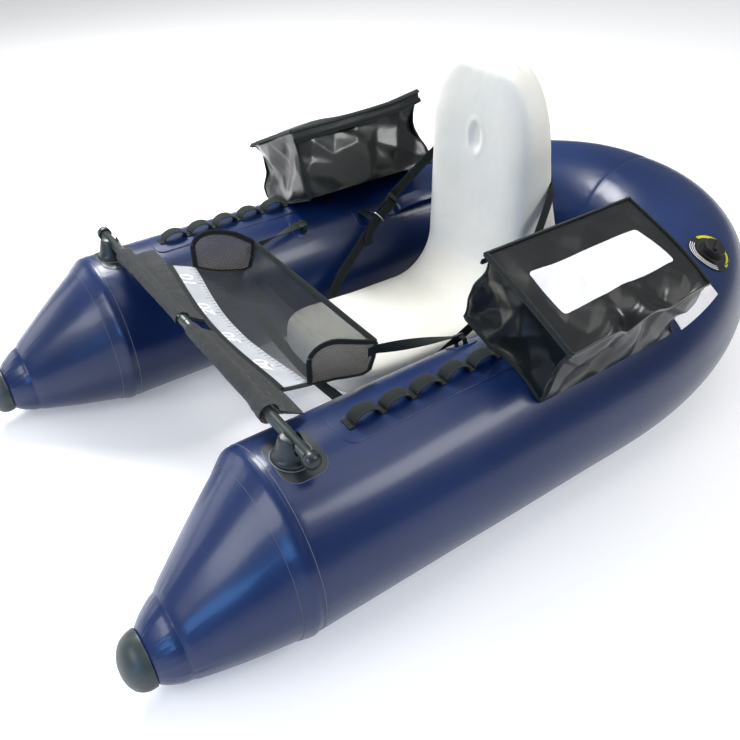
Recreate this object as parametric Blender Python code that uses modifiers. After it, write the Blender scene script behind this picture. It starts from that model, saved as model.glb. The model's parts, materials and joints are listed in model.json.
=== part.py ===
"""Float tube: a U-shaped inflatable hull with a foam seat, a bar, an apron and two side bags.

X runs across the boat, the sitter's left is +X. The bows point to -Y, the stern to +Y, Z is up.
The origin lies on the floor, midway between the two sides and between bow and stern.
"""
import math

import bmesh
import bpy
from mathutils import Matrix, Vector

# Hull tube
TUBE_RADIUS = 0.155
TUBE_HALF_SPACING = 0.350
STRAIGHT_LENGTH = 0.665
STERN_REACH = 0.532
STERN_RISE = 0.042
STERN_SQUARENESS = 2.3
TUBE_SIDES = 36
STERN_STATIONS = 15
SEAM_DIP = 0.002
SEAM_FADE = 0.014

# Bow cone, nose band and nose cap
CONE_LENGTH = 0.180
CONE_SHOULDER = 0.030
CONE_END_RADIUS = 0.070
CONE_END_HEIGHT = 0.088
CONE_SPLAY = 0.022
BAND_LENGTH = 0.044
BAND_END_RADIUS = 0.044
BAND_END_HEIGHT = 0.079
BAND_SPLAY = 0.025
CAP_LENGTH = 0.040
CAP_LIP = 0.0015
CAP_DROP = 0.007

# Clearances
GAP = 0.0003
CUT_OVERRUN = 0.030
SLIDE_GAP = 0.0004

# Welded patches
PATCH_THICKNESS = 0.0014
PATCH_DEPTH = 0.060

# Front bar
BAR_AFT_OF_SEAM = 0.054
BAR_ABOVE_TUBE = 0.027
BAR_DIAMETER = 0.019
BAR_WALL = 0.0014
BAR_HALF_LENGTH = 0.398
SPIGOT_HALF_LENGTH = 0.045
KNOB_DIAMETER = 0.027
KNOB_LENGTH = 0.020
KNOB_PLUG_LENGTH = 0.020

# Bar clips
CLIP_HALF_SPACING = 0.357
CLIP_BASE_RADIUS = 0.026
CLIP_BROW_RADIUS = 0.017
CLIP_TOP_ABOVE_BAR = 0.013
CLIP_FLANGE_RADIUS = 0.030
CLIP_FLANGE_THICKNESS = 0.0025
CLIP_OFFSET = 0.006
CLIP_PATCH_LENGTH = 0.096
CLIP_PATCH_WIDTH = 0.074

# Tie rails
RAIL_AFT_OF_SEAM = 0.155
RAIL_LOOPS = 5
RAIL_END_GAP = 0.0035
RAIL_RISE = 0.0165
RAIL_STITCH = 0.010
RAIL_PATCH_MARGIN = 0.016
RAIL_PATCH_WIDTH = 0.072
RAIL_STEPS = 6

# Webbing
WEB_WIDTH = 0.025
WEB_THICKNESS = 0.0016

# Bags
BAG_PAST_STRAIGHT = -0.045
BAG_LENGTH = 0.334
BAG_WIDTH = 0.209
BAG_HEIGHT = 0.132
BAG_WALL = 0.0025
BAG_LIFT = 0.0045
BAG_TILT_LEFT = math.radians(18.6)
BAG_TILT_RIGHT = math.radians(25.0)
BAG_INBOARD_LEFT = 0.043
BAG_INBOARD_RIGHT = 0.079
BAG_EDGE_ROUND = 0.010
LID_THICKNESS = 0.0035
LID_OVERHANG = 0.003
LID_FLAP = 0.024
BAG_PAD_WIDTH = 0.060
BAG_PAD_LENGTH = 0.290
BAG_TIE_WIDTH = 0.022
BAG_TIE_LENGTH = 0.048
BAG_TIE_FORWARD = 0.075
BAG_TIE_LEAN = math.radians(-3.0)

# Seat
SEAT_FRONT_AFT_OF_SEAM = 0.280
SEAT_BACK_PAST_STRAIGHT = 0.057
SEAT_PAN_HEIGHT = 0.148
SEAT_FRONT_RISE = 0.016
SEAT_TOP_HEIGHT = 0.656
SEAT_HALF_WIDTH = 0.140
SEAT_THICKNESS = 0.076
SEAT_LUMBAR = 0.110
SEAT_BEND_RADIUS = 0.122
SEAT_DOME = 0.165
SEAT_FRONT_ROUND = 0.090
SEAT_EDGE_ROUND = 0.030
SEAT_SECTION_SQUARENESS = 4.0
SEAT_DIMPLE_HEIGHT = 0.520
SEAT_DIMPLE_RADIUS = 0.030
SEAT_DIMPLE_DEPTH = 0.006
SEAT_SECTION_POINTS = 24
SEAT_PAN_STEPS = 6
SEAT_BACK_STEPS = 4

# Seat straps and their fittings
STRAP_BACK_HEIGHT = 0.466
STRAP_BACK_DROP = 0.030
STRAP_RIM_LEFT = (17, 23, 30, 37, 48, 62, 78)
STRAP_RIM_RIGHT = (-10, 0, 8, 17, 27, 37, 48, 62, 78)
STRAP_STANDOFF = 0.0040
STRAP_UNDER_BEFORE_BACK = 0.282
STRAP_SIDE_BEFORE_BACK = 0.257
STRAP_SIDE_HEIGHT = 0.182
STRAP_SIDE_HALF_SPACING = 0.172
BUCKLE_HEIGHT = 0.320
BUCKLE_HALF_SPACING = 0.203
BUCKLE_BEFORE_BACK = 0.090
BUCKLE_SLOPE = math.radians(44.0)
BUCKLE_WIDTH = 0.034
BUCKLE_LENGTH = 0.040
BUCKLE_THICKNESS = 0.0045
BUCKLE_BAR = 0.0032
BUCKLE_SLOT = 0.0100
BUCKLE_ROUND = 0.006
TAIL_STRAIGHT = 0.030
TAIL_STEP = 0.008
TAIL_STEPS = 5
TAIL_TURN = math.radians(10.0)
FRONT_SLING_AFT_OF_SEAM = 0.284
FRONT_SLING_LEAN = math.radians(-84.0)
FRONT_SLING_FOOT = math.radians(14.0)
RING_LEAN = math.radians(-37.0)
RING_BEFORE_BACK = 0.122
RING_WIRE = 0.0032
RING_WIDTH = 0.034
RING_DEPTH = 0.021
RING_BELOW_BUCKLE = 0.014
RING_OUT_SHARE = 0.60
RING_PATCH_SIZE = 0.052

# Grab handles
HANDLE_LEAN = math.radians(-40.0)
HANDLE_PAST_STRAIGHT = 0.105
HANDLE_LENGTH = 0.176
HANDLE_RISE = 0.032
HANDLE_WIDTH = 0.030
HANDLE_THICKNESS = 0.0026
HANDLE_FOOT = 0.026
HANDLE_PATCH_MARGIN = 0.012
HANDLE_STEPS = 8

# Apron
SLEEVE_THICKNESS = 0.0018
SLEEVE_CLEARANCE = 0.0010
SLEEVE_HALF_WIDTH = 0.288
SLEEVE_BAND = 0.048
SLEEVE_DROP = 0.016
SLEEVE_WINDOW = 0.070
SLEEVE_WINDOW_BAND = 0.010
SLEEVE_SIDES = 16
POUCH_HALF_WIDTH = 0.216
POUCH_THICKNESS = 0.0018
POUCH_BAND = 0.052
POUCH_BAND_DROP = 0.016
POUCH_LENGTH = 0.136
POUCH_DEPTH = 0.047
POUCH_BACK_RISE = 0.054
POUCH_BACK_LEAN = 0.016
POUCH_SAG = 0.016
POUCH_COLUMNS = 10
GUSSET_RISE = 0.056
POUCH_FLOOR_SHARES = ((0.28, 0.36), (0.62, 0.80), (0.90, 1.0), (1.0, 0.94))
POUCH_BACK_SHARES = ((0.55, 0.45), (1.0, 1.0))
GUSSET_SHARES = ((0.85, 0.50), (0.56, 0.86), (0.27, 1.0), (0.10, 0.62))
RULER_WIDTH = 0.046
RULER_THICKNESS = 0.0012
RULER_HALF_LENGTH = 0.212
APRON_STRAP_WIDTH = 0.018
APRON_STRAP_STEPS = 10
APRON_HOOK_BEFORE_BACK = 0.281
APRON_HOOK_LEAN = math.radians(-31.0)
APRON_HOOK_WIDTH = 0.014
APRON_HOOK_WALL = 0.0025
APRON_HOOK_LEG = 0.007
APRON_HOOK_TONGUE = 0.014
APRON_LOOP_RISE = 0.015
APRON_LOOP_WIDTH = 0.010
APRON_LOOP_SPREAD = math.radians(5.0)
APRON_PATCH_SIZE = 0.046

# Inflation valves
VALVE_LEAN = math.radians(24.0)
VALVE_TURN = math.radians(38.0)
VALVE_FLANGE_RADIUS = 0.031
VALVE_FLANGE_HEIGHT = 0.004
VALVE_BOSS_RADIUS = 0.0235
VALVE_BOSS_HEIGHT = 0.011
VALVE_BORE_RADIUS = 0.0165
VALVE_FLOOR_HEIGHT = 0.0055
VALVE_CAP_RADIUS = 0.0225
VALVE_CAP_HEIGHT = 0.006
VALVE_CAP_GRIP = 0.0045
VALVE_STEM_RADIUS = 0.004
VALVE_STEM_HEIGHT = 0.0045
VALVE_STEM_TRAVEL = 0.0025
VALVE_HOLE_RADIUS = 0.0041
VALVE_SINK = 0.004
VALVE_GRIP_WIDTH = 0.007

OVERALL_LENGTH = (CAP_LENGTH + BAND_LENGTH + CONE_LENGTH + STRAIGHT_LENGTH + STERN_REACH
                  + TUBE_RADIUS)
BOW_TIP_Y = -OVERALL_LENGTH / 2
BAND_START_Y = BOW_TIP_Y + CAP_LENGTH
CONE_START_Y = BAND_START_Y + BAND_LENGTH
SEAM_Y = CONE_START_Y + CONE_LENGTH
TUBE_TOP = 2 * TUBE_RADIUS
BAR_RADIUS = BAR_DIAMETER / 2
BAR_HEIGHT = TUBE_TOP + BAR_ABOVE_TUBE
BAG_AFT_OF_SEAM = STRAIGHT_LENGTH + BAG_PAST_STRAIGHT
RAIL_PITCH = (BAG_AFT_OF_SEAM - BAG_LENGTH / 2 - RAIL_END_GAP - RAIL_AFT_OF_SEAM) / RAIL_LOOPS
SEAT_BACK_AFT_OF_SEAM = STRAIGHT_LENGTH + SEAT_BACK_PAST_STRAIGHT
STRAP_UNDER_AFT_OF_SEAM = SEAT_BACK_AFT_OF_SEAM - STRAP_UNDER_BEFORE_BACK
STRAP_SIDE_AFT_OF_SEAM = SEAT_BACK_AFT_OF_SEAM - STRAP_SIDE_BEFORE_BACK
BUCKLE_AFT_OF_SEAM = SEAT_BACK_AFT_OF_SEAM - BUCKLE_BEFORE_BACK
RING_AFT_OF_SEAM = SEAT_BACK_AFT_OF_SEAM - RING_BEFORE_BACK
HANDLE_AFT_OF_SEAM = STRAIGHT_LENGTH + HANDLE_PAST_STRAIGHT
APRON_HOOK_AFT_OF_SEAM = SEAT_BACK_AFT_OF_SEAM - APRON_HOOK_BEFORE_BACK
BAR_Y = SEAM_Y + BAR_AFT_OF_SEAM
LEFT, RIGHT = 1, -1
SIDES = ((LEFT, "left"), (RIGHT, "right"))
UP = Vector((0, 0, 1))
AFT = Vector((0, 1, 0))
ACROSS = Vector((1, 0, 0))


def clear_scene():
    for item in list(bpy.data.objects):
        bpy.data.objects.remove(item)


def make_collection(name):
    collection = bpy.data.collections.new(name)
    bpy.context.scene.collection.children.link(collection)
    return collection


def make_material(name, colour, roughness, metallic=0.0):
    material = bpy.data.materials.new(name)
    material.use_nodes = True
    shader = material.node_tree.nodes["Principled BSDF"]
    shader.inputs["Base Color"].default_value = (*colour, 1.0)
    shader.inputs["Roughness"].default_value = roughness
    shader.inputs["Metallic"].default_value = metallic
    return material


clear_scene()
PARTS = make_collection("float_tube")
CUTTERS = make_collection("cutters")
NAVY = make_material("navy_pvc", (0.012, 0.022, 0.085), 0.28)
NOSE_RUBBER = make_material("nose_rubber", (0.030, 0.036, 0.034), 0.55)
PATCH_PVC = make_material("patch_pvc", (0.045, 0.055, 0.052), 0.5)
CLIP_NYLON = make_material("clip_nylon", (0.035, 0.045, 0.045), 0.38)
BLACK_WEB = make_material("black_webbing", (0.012, 0.018, 0.018), 0.85)
BLACK_TARP = make_material("black_tarpaulin", (0.014, 0.017, 0.018), 0.32)
FOAM = make_material("white_foam", (0.80, 0.80, 0.74), 0.6)
MESH = make_material("black_mesh", (0.025, 0.028, 0.028), 0.8)
STRIP_WHITE = make_material("strip_white", (0.75, 0.76, 0.78), 0.5)
BAR_GREY = make_material("bar_grey", (0.10, 0.11, 0.10), 0.35, 0.6)
NICKEL = make_material("nickel_wire", (0.55, 0.56, 0.58), 0.25, 1.0)
VALVE_BLACK = make_material("valve_black", (0.02, 0.02, 0.022), 0.4)


def link_mesh(name, mesh, material, collection=PARTS, parent=None):
    item = bpy.data.objects.new(name, mesh)
    collection.objects.link(item)
    if material:
        mesh.materials.append(material)
    if parent:
        item.parent = parent
        item.matrix_parent_inverse = parent.matrix_world.inverted()
    if collection is CUTTERS:
        item.hide_render = True
        item.display_type = "WIRE"
    return item


def mesh_from(name, bm, smooth_angle=math.radians(35.0)):
    bmesh.ops.recalc_face_normals(bm, faces=bm.faces)
    mesh = bpy.data.meshes.new(name)
    bm.to_mesh(mesh)
    bm.free()
    mesh.shade_smooth()
    mesh.set_sharp_from_angle(angle=smooth_angle)
    return mesh


def axis_empty(name, place):
    empty = bpy.data.objects.new(name, None)
    PARTS.objects.link(empty)
    empty.location = place
    bpy.context.view_layer.update()
    return empty


def loft(name, rings, material, collection=PARTS, parent=None, closed=False):
    """Skin a list of rings that all have the same number of points."""
    bm = bmesh.new()
    rows = [[bm.verts.new(point) for point in ring] for ring in rings]
    pairs = list(zip(rows, rows[1:]))
    if closed:
        pairs.append((rows[-1], rows[0]))
    for first, second in pairs:
        for index in range(len(first)):
            after = (index + 1) % len(first)
            bm.faces.new((first[index], first[after], second[after], second[index]))
    if not closed:
        bm.faces.new(rows[0])
        bm.faces.new(rows[-1])
    return link_mesh(name, mesh_from(name, bm), material, collection, parent)


def tube_ring(centre, heading, radius):
    """Ring of flats around a tube axis, with a flat at the top and at the bottom."""
    outward = heading.cross(UP).normalized()
    top = outward.cross(heading).normalized()
    corner = radius / math.cos(math.pi / TUBE_SIDES)
    ring = []
    for index in range(TUBE_SIDES):
        turn = 2 * math.pi * (index + 1 / 2) / TUBE_SIDES
        ring.append(centre + (top * math.cos(turn) + outward * math.sin(turn)) * corner)
    return ring


def ribbon(name, stations, width, thickness, material, parent=None):
    """Webbing along stations, each a point and the direction of the web's width there.

    Both faces are split along the same diagonals, so that a twist keeps its thickness.
    """
    bm = bmesh.new()
    rings = []
    for index, (point, across) in enumerate(stations):
        before = stations[max(index - 1, 0)][0]
        after = stations[min(index + 1, len(stations) - 1)][0]
        along = (after - before).normalized()
        side = (across - along * across.dot(along)).normalized() * width / 2
        face = along.cross(side).normalized() * thickness / 2
        rings.append([bm.verts.new(corner) for corner in (point - side - face, point + side - face,
                                                          point + side + face, point - side + face)])
    for (a0, a1, a2, a3), (b0, b1, b2, b3) in zip(rings, rings[1:]):
        for face in ((a0, a1, b1), (a0, b1, b0), (a1, a2, b2, b1), (a2, a3, b2), (a3, b3, b2),
                     (a3, a0, b0, b3)):
            bm.faces.new(face)
    bm.faces.new(rings[0])
    bm.faces.new(rings[-1])
    return link_mesh(name, mesh_from(name, bm), material, parent=parent)


def flat_piece(name, outlines, thickness, place, material, collection=PARTS, parent=None):
    """Flat outline, with holes, made solid about its own middle plane."""
    curve = bpy.data.curves.new(name, "CURVE")
    curve.dimensions = "2D"
    curve.fill_mode = "BOTH"
    curve.extrude = thickness / 2
    for outline in outlines:
        spline = curve.splines.new("POLY")
        spline.points.add(len(outline) - 1)
        for point, (x, y) in zip(spline.points, outline):
            point.co = (x, y, 0, 1)
        spline.use_cyclic_u = True
    guide = bpy.data.objects.new(name, curve)
    bpy.context.scene.collection.objects.link(guide)
    guide.matrix_world = place
    bpy.context.view_layer.update()
    mesh = bpy.data.meshes.new_from_object(guide.evaluated_get(bpy.context.evaluated_depsgraph_get()))
    bpy.data.objects.remove(guide)
    mesh.transform(place)
    bm = bmesh.new()
    bm.from_mesh(mesh)
    bmesh.ops.remove_doubles(bm, verts=bm.verts, dist=GAP / 10)
    mesh = mesh_from(name, bm)
    mesh.materials.clear()
    return link_mesh(name, mesh, material, collection, parent)


def wire(name, points, radius, material, cyclic=False, resolution=2, parent=None):
    curve = bpy.data.curves.new(name, "CURVE")
    curve.dimensions = "3D"
    curve.bevel_depth = radius
    curve.bevel_resolution = resolution
    curve.use_fill_caps = not cyclic
    spline = curve.splines.new("POLY")
    spline.points.add(len(points) - 1)
    for target, point in zip(spline.points, points):
        target.co = (*point, 1)
    spline.use_cyclic_u = cyclic
    guide = bpy.data.objects.new(name, curve)
    bpy.context.scene.collection.objects.link(guide)
    bpy.context.view_layer.update()
    mesh = bpy.data.meshes.new_from_object(guide.evaluated_get(bpy.context.evaluated_depsgraph_get()))
    bpy.data.objects.remove(guide)
    bm = bmesh.new()
    bm.from_mesh(mesh)
    bmesh.ops.remove_doubles(bm, verts=bm.verts, dist=GAP / 10)
    mesh = mesh_from(name, bm)
    mesh.materials.clear()
    return link_mesh(name, mesh, material, parent=parent)


def turned(name, profile, place, material, steps=24, ring=False, collection=PARTS, parent=None):
    """Turn a profile of (radius, height) pairs about its own axis; a ring's profile is closed."""
    mesh = bpy.data.meshes.new(name)
    points = [(radius, 0, height) for radius, height in profile]
    edges = [(index, index + 1) for index in range(len(points) - 1)]
    if ring:
        edges.append((len(points) - 1, 0))
    mesh.from_pydata(points, edges, [])
    item = link_mesh(name, mesh, material, collection)
    item.matrix_world = place
    if parent:
        item.parent = parent
        item.matrix_parent_inverse = parent.matrix_world.inverted()
    screw = item.modifiers.new("turn", "SCREW")
    screw.steps = steps
    screw.render_steps = steps
    screw.use_merge_vertices = True
    screw.merge_threshold = GAP / 10
    turns = zip(profile, profile[1:] + profile[:1])
    screw.use_normal_flip = sum(r1 * z2 - r2 * z1 for (r1, z1), (r2, z2) in turns) > 0
    return item


def box(name, low, high, place, material=None, collection=PARTS, parent=None, rounding=0):
    """Box between two corners; rounding goes on every edge below its top face."""
    bm = bmesh.new()
    bmesh.ops.create_cube(bm, size=1)
    size = Vector(high) - Vector(low)
    middle = (Vector(high) + Vector(low)) / 2
    bmesh.ops.transform(bm, matrix=Matrix.Translation(middle) @ Matrix.Diagonal((*size, 1)),
                        verts=bm.verts)
    if rounding:
        lower = [edge for edge in bm.edges if min(v.co.z for v in edge.verts) < middle.z]
        bmesh.ops.bevel(bm, geom=lower, offset=rounding, segments=2, profile=1 / 2, affect="EDGES")
    bmesh.ops.transform(bm, matrix=place, verts=bm.verts)
    return link_mesh(name, mesh_from(name, bm), material, collection, parent)


def boolean(item, cutter, operation="DIFFERENCE"):
    modifier = item.modifiers.new(operation.lower(), "BOOLEAN")
    modifier.object = cutter
    modifier.operation = operation
    return item


def frame(origin, x_axis, z_axis):
    """Placement with the given origin, X axis and Z axis."""
    z_axis = z_axis.normalized()
    y_axis = z_axis.cross(x_axis).normalized()
    x_axis = y_axis.cross(z_axis)
    rows = Matrix((x_axis, y_axis, z_axis)).transposed().to_4x4()
    return Matrix.Translation(origin) @ rows


def stern_axis(turn, side):
    """Tube axis on the stern curve, from the straight tube (0) to the stern middle (a quarter turn)."""
    power = 2 / STERN_SQUARENESS
    across = TUBE_HALF_SPACING * math.cos(turn) ** power if turn < math.pi / 2 else 0
    aft = SEAM_Y + STRAIGHT_LENGTH + STERN_REACH * math.sin(turn) ** power
    lift = STERN_RISE * (1 - math.cos(2 * turn)) / 2
    return Vector((side * across, aft, TUBE_RADIUS + lift))


def stern_heading(turn, side):
    step = math.pi / 2 / STERN_STATIONS / 8
    if turn < step:
        return AFT.copy()
    if turn > math.pi / 2 - step:
        return Vector((-side, 0, 0))
    return (stern_axis(turn + step, side) - stern_axis(turn - step, side)).normalized()


def hull_frame(aft_of_seam, side):
    """Axis point and heading of the hull, at a distance aft of the bow seam."""
    if aft_of_seam <= STRAIGHT_LENGTH:
        return Vector((side * TUBE_HALF_SPACING, SEAM_Y + aft_of_seam, TUBE_RADIUS)), AFT.copy()
    reach = (aft_of_seam - STRAIGHT_LENGTH) / STERN_REACH
    turn = math.asin(reach ** (STERN_SQUARENESS / 2))
    return stern_axis(turn, side), stern_heading(turn, side)


def on_hull(aft_of_seam, lean, side, above=0):
    """Point, outward normal and heading on the hull; lean is measured outward from the top."""
    centre, heading = hull_frame(aft_of_seam, side)
    outward = heading.cross(UP).normalized() * side
    top = outward.cross(heading).normalized() * side
    normal = top * math.cos(lean) + outward * math.sin(lean)
    return centre + normal * (TUBE_RADIUS + above), normal, heading


def seam_rings(side, extra=0):
    """Rings of the straight tube, drawn in a little at each weld."""
    start = Vector((side * TUBE_HALF_SPACING, SEAM_Y + GAP / 2, TUBE_RADIUS))
    rings = []
    for along, dip in ((0, SEAM_DIP), (SEAM_FADE, 0), (STRAIGHT_LENGTH - SEAM_FADE - GAP, 0),
                       (STRAIGHT_LENGTH - GAP, SEAM_DIP)):
        rings.append(tube_ring(start + AFT * along, AFT, TUBE_RADIUS - dip + extra))
    return rings


def stern_rings(side, extra=0):
    """Rings of one stern quarter, drawn in at its two welds."""
    rings = []
    for index in range(STERN_STATIONS + 1):
        turn = math.pi / 2 * index / STERN_STATIONS
        centre = stern_axis(turn, side)
        heading = stern_heading(turn, side)
        if index == 0:
            near = centre + heading * GAP / 2
            rings.append(tube_ring(near, heading, TUBE_RADIUS - SEAM_DIP + extra))
            rings.append(tube_ring(centre + heading * SEAM_FADE, heading, TUBE_RADIUS + extra))
        elif index == STERN_STATIONS:
            rings.append(tube_ring(centre - heading * SEAM_FADE, heading, TUBE_RADIUS + extra))
            near = centre - heading * GAP / 2
            rings.append(tube_ring(near, heading, TUBE_RADIUS - SEAM_DIP + extra))
        else:
            rings.append(tube_ring(centre, heading, TUBE_RADIUS + extra))
    return rings


def envelope_rings(side, extra):
    """The hull from seam to stern with no seam dips, to cut what lies on it."""
    rings = [tube_ring(Vector((side * TUBE_HALF_SPACING, SEAM_Y, TUBE_RADIUS)), AFT, TUBE_RADIUS + extra)]
    for index in range(STERN_STATIONS):
        turn = math.pi / 2 * index / STERN_STATIONS
        rings.append(tube_ring(stern_axis(turn, side), stern_heading(turn, side), TUBE_RADIUS + extra))
    return rings


def bow_section(along_share, side):
    """Centre and radius of the bow cone, from its seam on the tube (0) to its small end (1)."""
    radius = TUBE_RADIUS + (CONE_END_RADIUS - TUBE_RADIUS) * along_share
    height = TUBE_RADIUS + (CONE_END_HEIGHT - TUBE_RADIUS) * along_share
    across = TUBE_HALF_SPACING + CONE_SPLAY * along_share
    return Vector((side * across, SEAM_Y - CONE_LENGTH * along_share, height)), radius


def cone_rings(side):
    """The cone leaves the tube through a rounded shoulder."""
    start = bow_section(0, side)[0] - AFT * GAP / 2
    rings = [tube_ring(start, AFT, TUBE_RADIUS - SEAM_DIP)]
    shoulder_share = CONE_SHOULDER / CONE_LENGTH
    for fade in (1 / 3, 2 / 3, 1):
        centre, radius = bow_section(shoulder_share * fade, side)
        round_off = (1 - fade) ** 2
        radius = radius + (TUBE_RADIUS - radius) * round_off
        rings.append(tube_ring(centre, AFT, radius))
    for share in (1 / 2, 1 - SEAM_FADE / CONE_LENGTH):
        centre, radius = bow_section(share, side)
        rings.append(tube_ring(centre, AFT, radius))
    centre, radius = bow_section(1, side)
    rings.append(tube_ring(centre + AFT * GAP / 2, AFT, radius - SEAM_DIP))
    return rings


def band_rings(side):
    start, radius = bow_section(1, side)
    end = Vector((side * (TUBE_HALF_SPACING + BAND_SPLAY), BAND_START_Y, BAND_END_HEIGHT))
    middle = start.lerp(end, 1 / 2)
    middle_radius = (radius + BAND_END_RADIUS) / 2 + SEAM_DIP
    return [tube_ring(start - AFT * GAP / 2, AFT, radius - SEAM_DIP),
            tube_ring(middle, AFT, middle_radius),
            tube_ring(end + AFT * GAP / 2, AFT, BAND_END_RADIUS - SEAM_DIP)]


def cap_rings(side):
    start = Vector((side * (TUBE_HALF_SPACING + BAND_SPLAY), BAND_START_Y, BAND_END_HEIGHT))
    rings = [tube_ring(start - AFT * GAP / 2, AFT, BAND_END_RADIUS - SEAM_DIP / 2),
             tube_ring(start - AFT * CAP_LENGTH / 8, AFT, BAND_END_RADIUS + CAP_LIP)]
    for turn in (30, 52, 70, 84):
        angle = math.radians(turn)
        along = CAP_LENGTH * (1 + 7 * math.sin(angle)) / 8
        centre = start - AFT * along - UP * CAP_DROP * along / CAP_LENGTH
        rings.append(tube_ring(centre, AFT, (BAND_END_RADIUS + CAP_LIP) * math.cos(angle)))
    tip = start - AFT * CAP_LENGTH - UP * CAP_DROP
    rings.append(tube_ring(tip, AFT, BAND_END_RADIUS * math.cos(math.radians(88.0))))
    return rings


def build_hull():
    for side, word in SIDES:
        loft(f"side_tube_{word}", seam_rings(side), NAVY)
        loft(f"stern_quarter_{word}", stern_rings(side), NAVY)
        loft(f"bow_cone_{word}", cone_rings(side), NAVY)
        loft(f"nose_band_{word}", band_rings(side), NAVY)
        loft(f"nose_cap_{word}", cap_rings(side), NOSE_RUBBER)


def hull_cutters():
    """Skins just off the hull: the seat of each patch, and each patch's own outer face."""
    skins = {}
    for side, word in SIDES:
        skins[side] = (loft(f"patch_seat_{word}", envelope_rings(side, GAP), None, CUTTERS),
                       loft(f"patch_face_{word}", envelope_rings(side, GAP + PATCH_THICKNESS),
                            None, CUTTERS))
    return skins


def oval(length, width, corner, steps=4):
    """Rounded rectangle, length along its first axis."""
    points = []
    for sign_x, sign_y, first in ((1, 1, 0), (-1, 1, 90), (-1, -1, 180), (1, -1, 270)):
        centre = Vector((sign_x * (length / 2 - corner), sign_y * (width / 2 - corner)))
        for step in range(steps + 1):
            angle = math.radians(first + 90 * step / steps)
            points.append((centre.x + corner * math.cos(angle), centre.y + corner * math.sin(angle)))
    return points


def welded_patch(name, outlines, aft_of_seam, lean, side, skins, material=PATCH_PVC):
    """Patch that follows the tube, cut from a tall prism by the two skins of the hull."""
    point, normal, heading = on_hull(aft_of_seam, lean, side)
    place = frame(point, heading, normal)
    patch = flat_piece(name, outlines, PATCH_DEPTH, place, material)
    boolean(patch, skins[side][1], "INTERSECT")
    boolean(patch, skins[side][0])
    return patch


def bar_place(across=0):
    """Bar axis as the Z axis of a placement."""
    return frame(Vector((across, BAR_Y, BAR_HEIGHT)), UP, ACROSS)


def build_clips(skins):
    """Moulded cradle: a thick front lobe and a thin rear lobe with the bar's channel between."""
    for side, word in SIDES:
        spot = CLIP_HALF_SPACING - TUBE_HALF_SPACING
        lean = math.asin(spot / TUBE_RADIUS)
        patch_outline = oval(CLIP_PATCH_WIDTH, CLIP_PATCH_LENGTH, CLIP_PATCH_WIDTH / 3)
        welded_patch(f"clip_patch_{word}", [patch_outline], BAR_AFT_OF_SEAM, lean, side, skins)
        base = TUBE_TOP - CLIP_FLANGE_THICKNESS
        top = BAR_HEIGHT + CLIP_TOP_ABOVE_BAR
        flange_top = TUBE_TOP + PATCH_THICKNESS + CLIP_FLANGE_THICKNESS
        profile = [(0, top), (CLIP_BROW_RADIUS / 2, top - GAP),
                   (CLIP_BROW_RADIUS, top - CLIP_FLANGE_THICKNESS),
                   ((CLIP_BROW_RADIUS + CLIP_BASE_RADIUS) / 2, (top + flange_top) / 2),
                   (CLIP_BASE_RADIUS, flange_top + CLIP_FLANGE_THICKNESS),
                   (CLIP_FLANGE_RADIUS, flange_top), (CLIP_FLANGE_RADIUS, base), (0, base)]
        place = Matrix.Translation((side * CLIP_HALF_SPACING, BAR_Y - CLIP_OFFSET, 0))
        clip = turned(f"bar_clip_{word}", profile, place, CLIP_NYLON, 28)
        reach = CLIP_FLANGE_RADIUS + CUT_OVERRUN
        half = BAR_RADIUS + SLIDE_GAP
        channel = box(f"bar_channel_{word}", (-reach, -half, -BAR_RADIUS - SLIDE_GAP),
                      (reach, half, CUT_OVERRUN),
                      Matrix.Translation((side * CLIP_HALF_SPACING, BAR_Y, BAR_HEIGHT)), None, CUTTERS)
        seat = loft(f"clip_seat_{word}", envelope_rings(side, 2 * GAP + PATCH_THICKNESS), None, CUTTERS)
        boolean(clip, channel)
        boolean(clip, seat)


def build_bar():
    """Two-piece tube bar with a spigot at its middle joint and a round knob plugged in each end."""
    inner = BAR_RADIUS - BAR_WALL
    slide = axis_empty("bar_axis", (0, BAR_Y, BAR_HEIGHT))
    for side, word in SIDES:
        ends = sorted((side * GAP / 2, side * BAR_HALF_LENGTH))
        profile = [(inner, ends[1]), (BAR_RADIUS, ends[1]), (BAR_RADIUS, ends[0]), (inner, ends[0])]
        turned(f"bar_half_{word}", profile, bar_place(), BAR_GREY, 20, True, parent=slide)
        face = BAR_HALF_LENGTH + GAP
        plug = face - KNOB_PLUG_LENGTH
        nose = face + KNOB_LENGTH
        knob_radius = KNOB_DIAMETER / 2
        fit = inner - GAP
        profile = [(0, nose), (knob_radius / 2, nose - GAP), (knob_radius * 4 / 5, nose - KNOB_LENGTH / 6),
                   (knob_radius, nose - KNOB_LENGTH / 2), (knob_radius * 9 / 10, face),
                   (fit, face), (fit, plug), (0, plug)]
        place = frame(Vector((0, BAR_Y, BAR_HEIGHT)), UP, ACROSS * side)
        turned(f"bar_knob_{word}", profile, place, CLIP_NYLON, 20, parent=slide)
    fit = inner - GAP
    profile = [(0, SPIGOT_HALF_LENGTH), (fit, SPIGOT_HALF_LENGTH), (fit, -SPIGOT_HALF_LENGTH),
               (0, -SPIGOT_HALF_LENGTH)]
    turned("bar_spigot", profile, bar_place(), BAR_GREY, 16, parent=slide)


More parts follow.
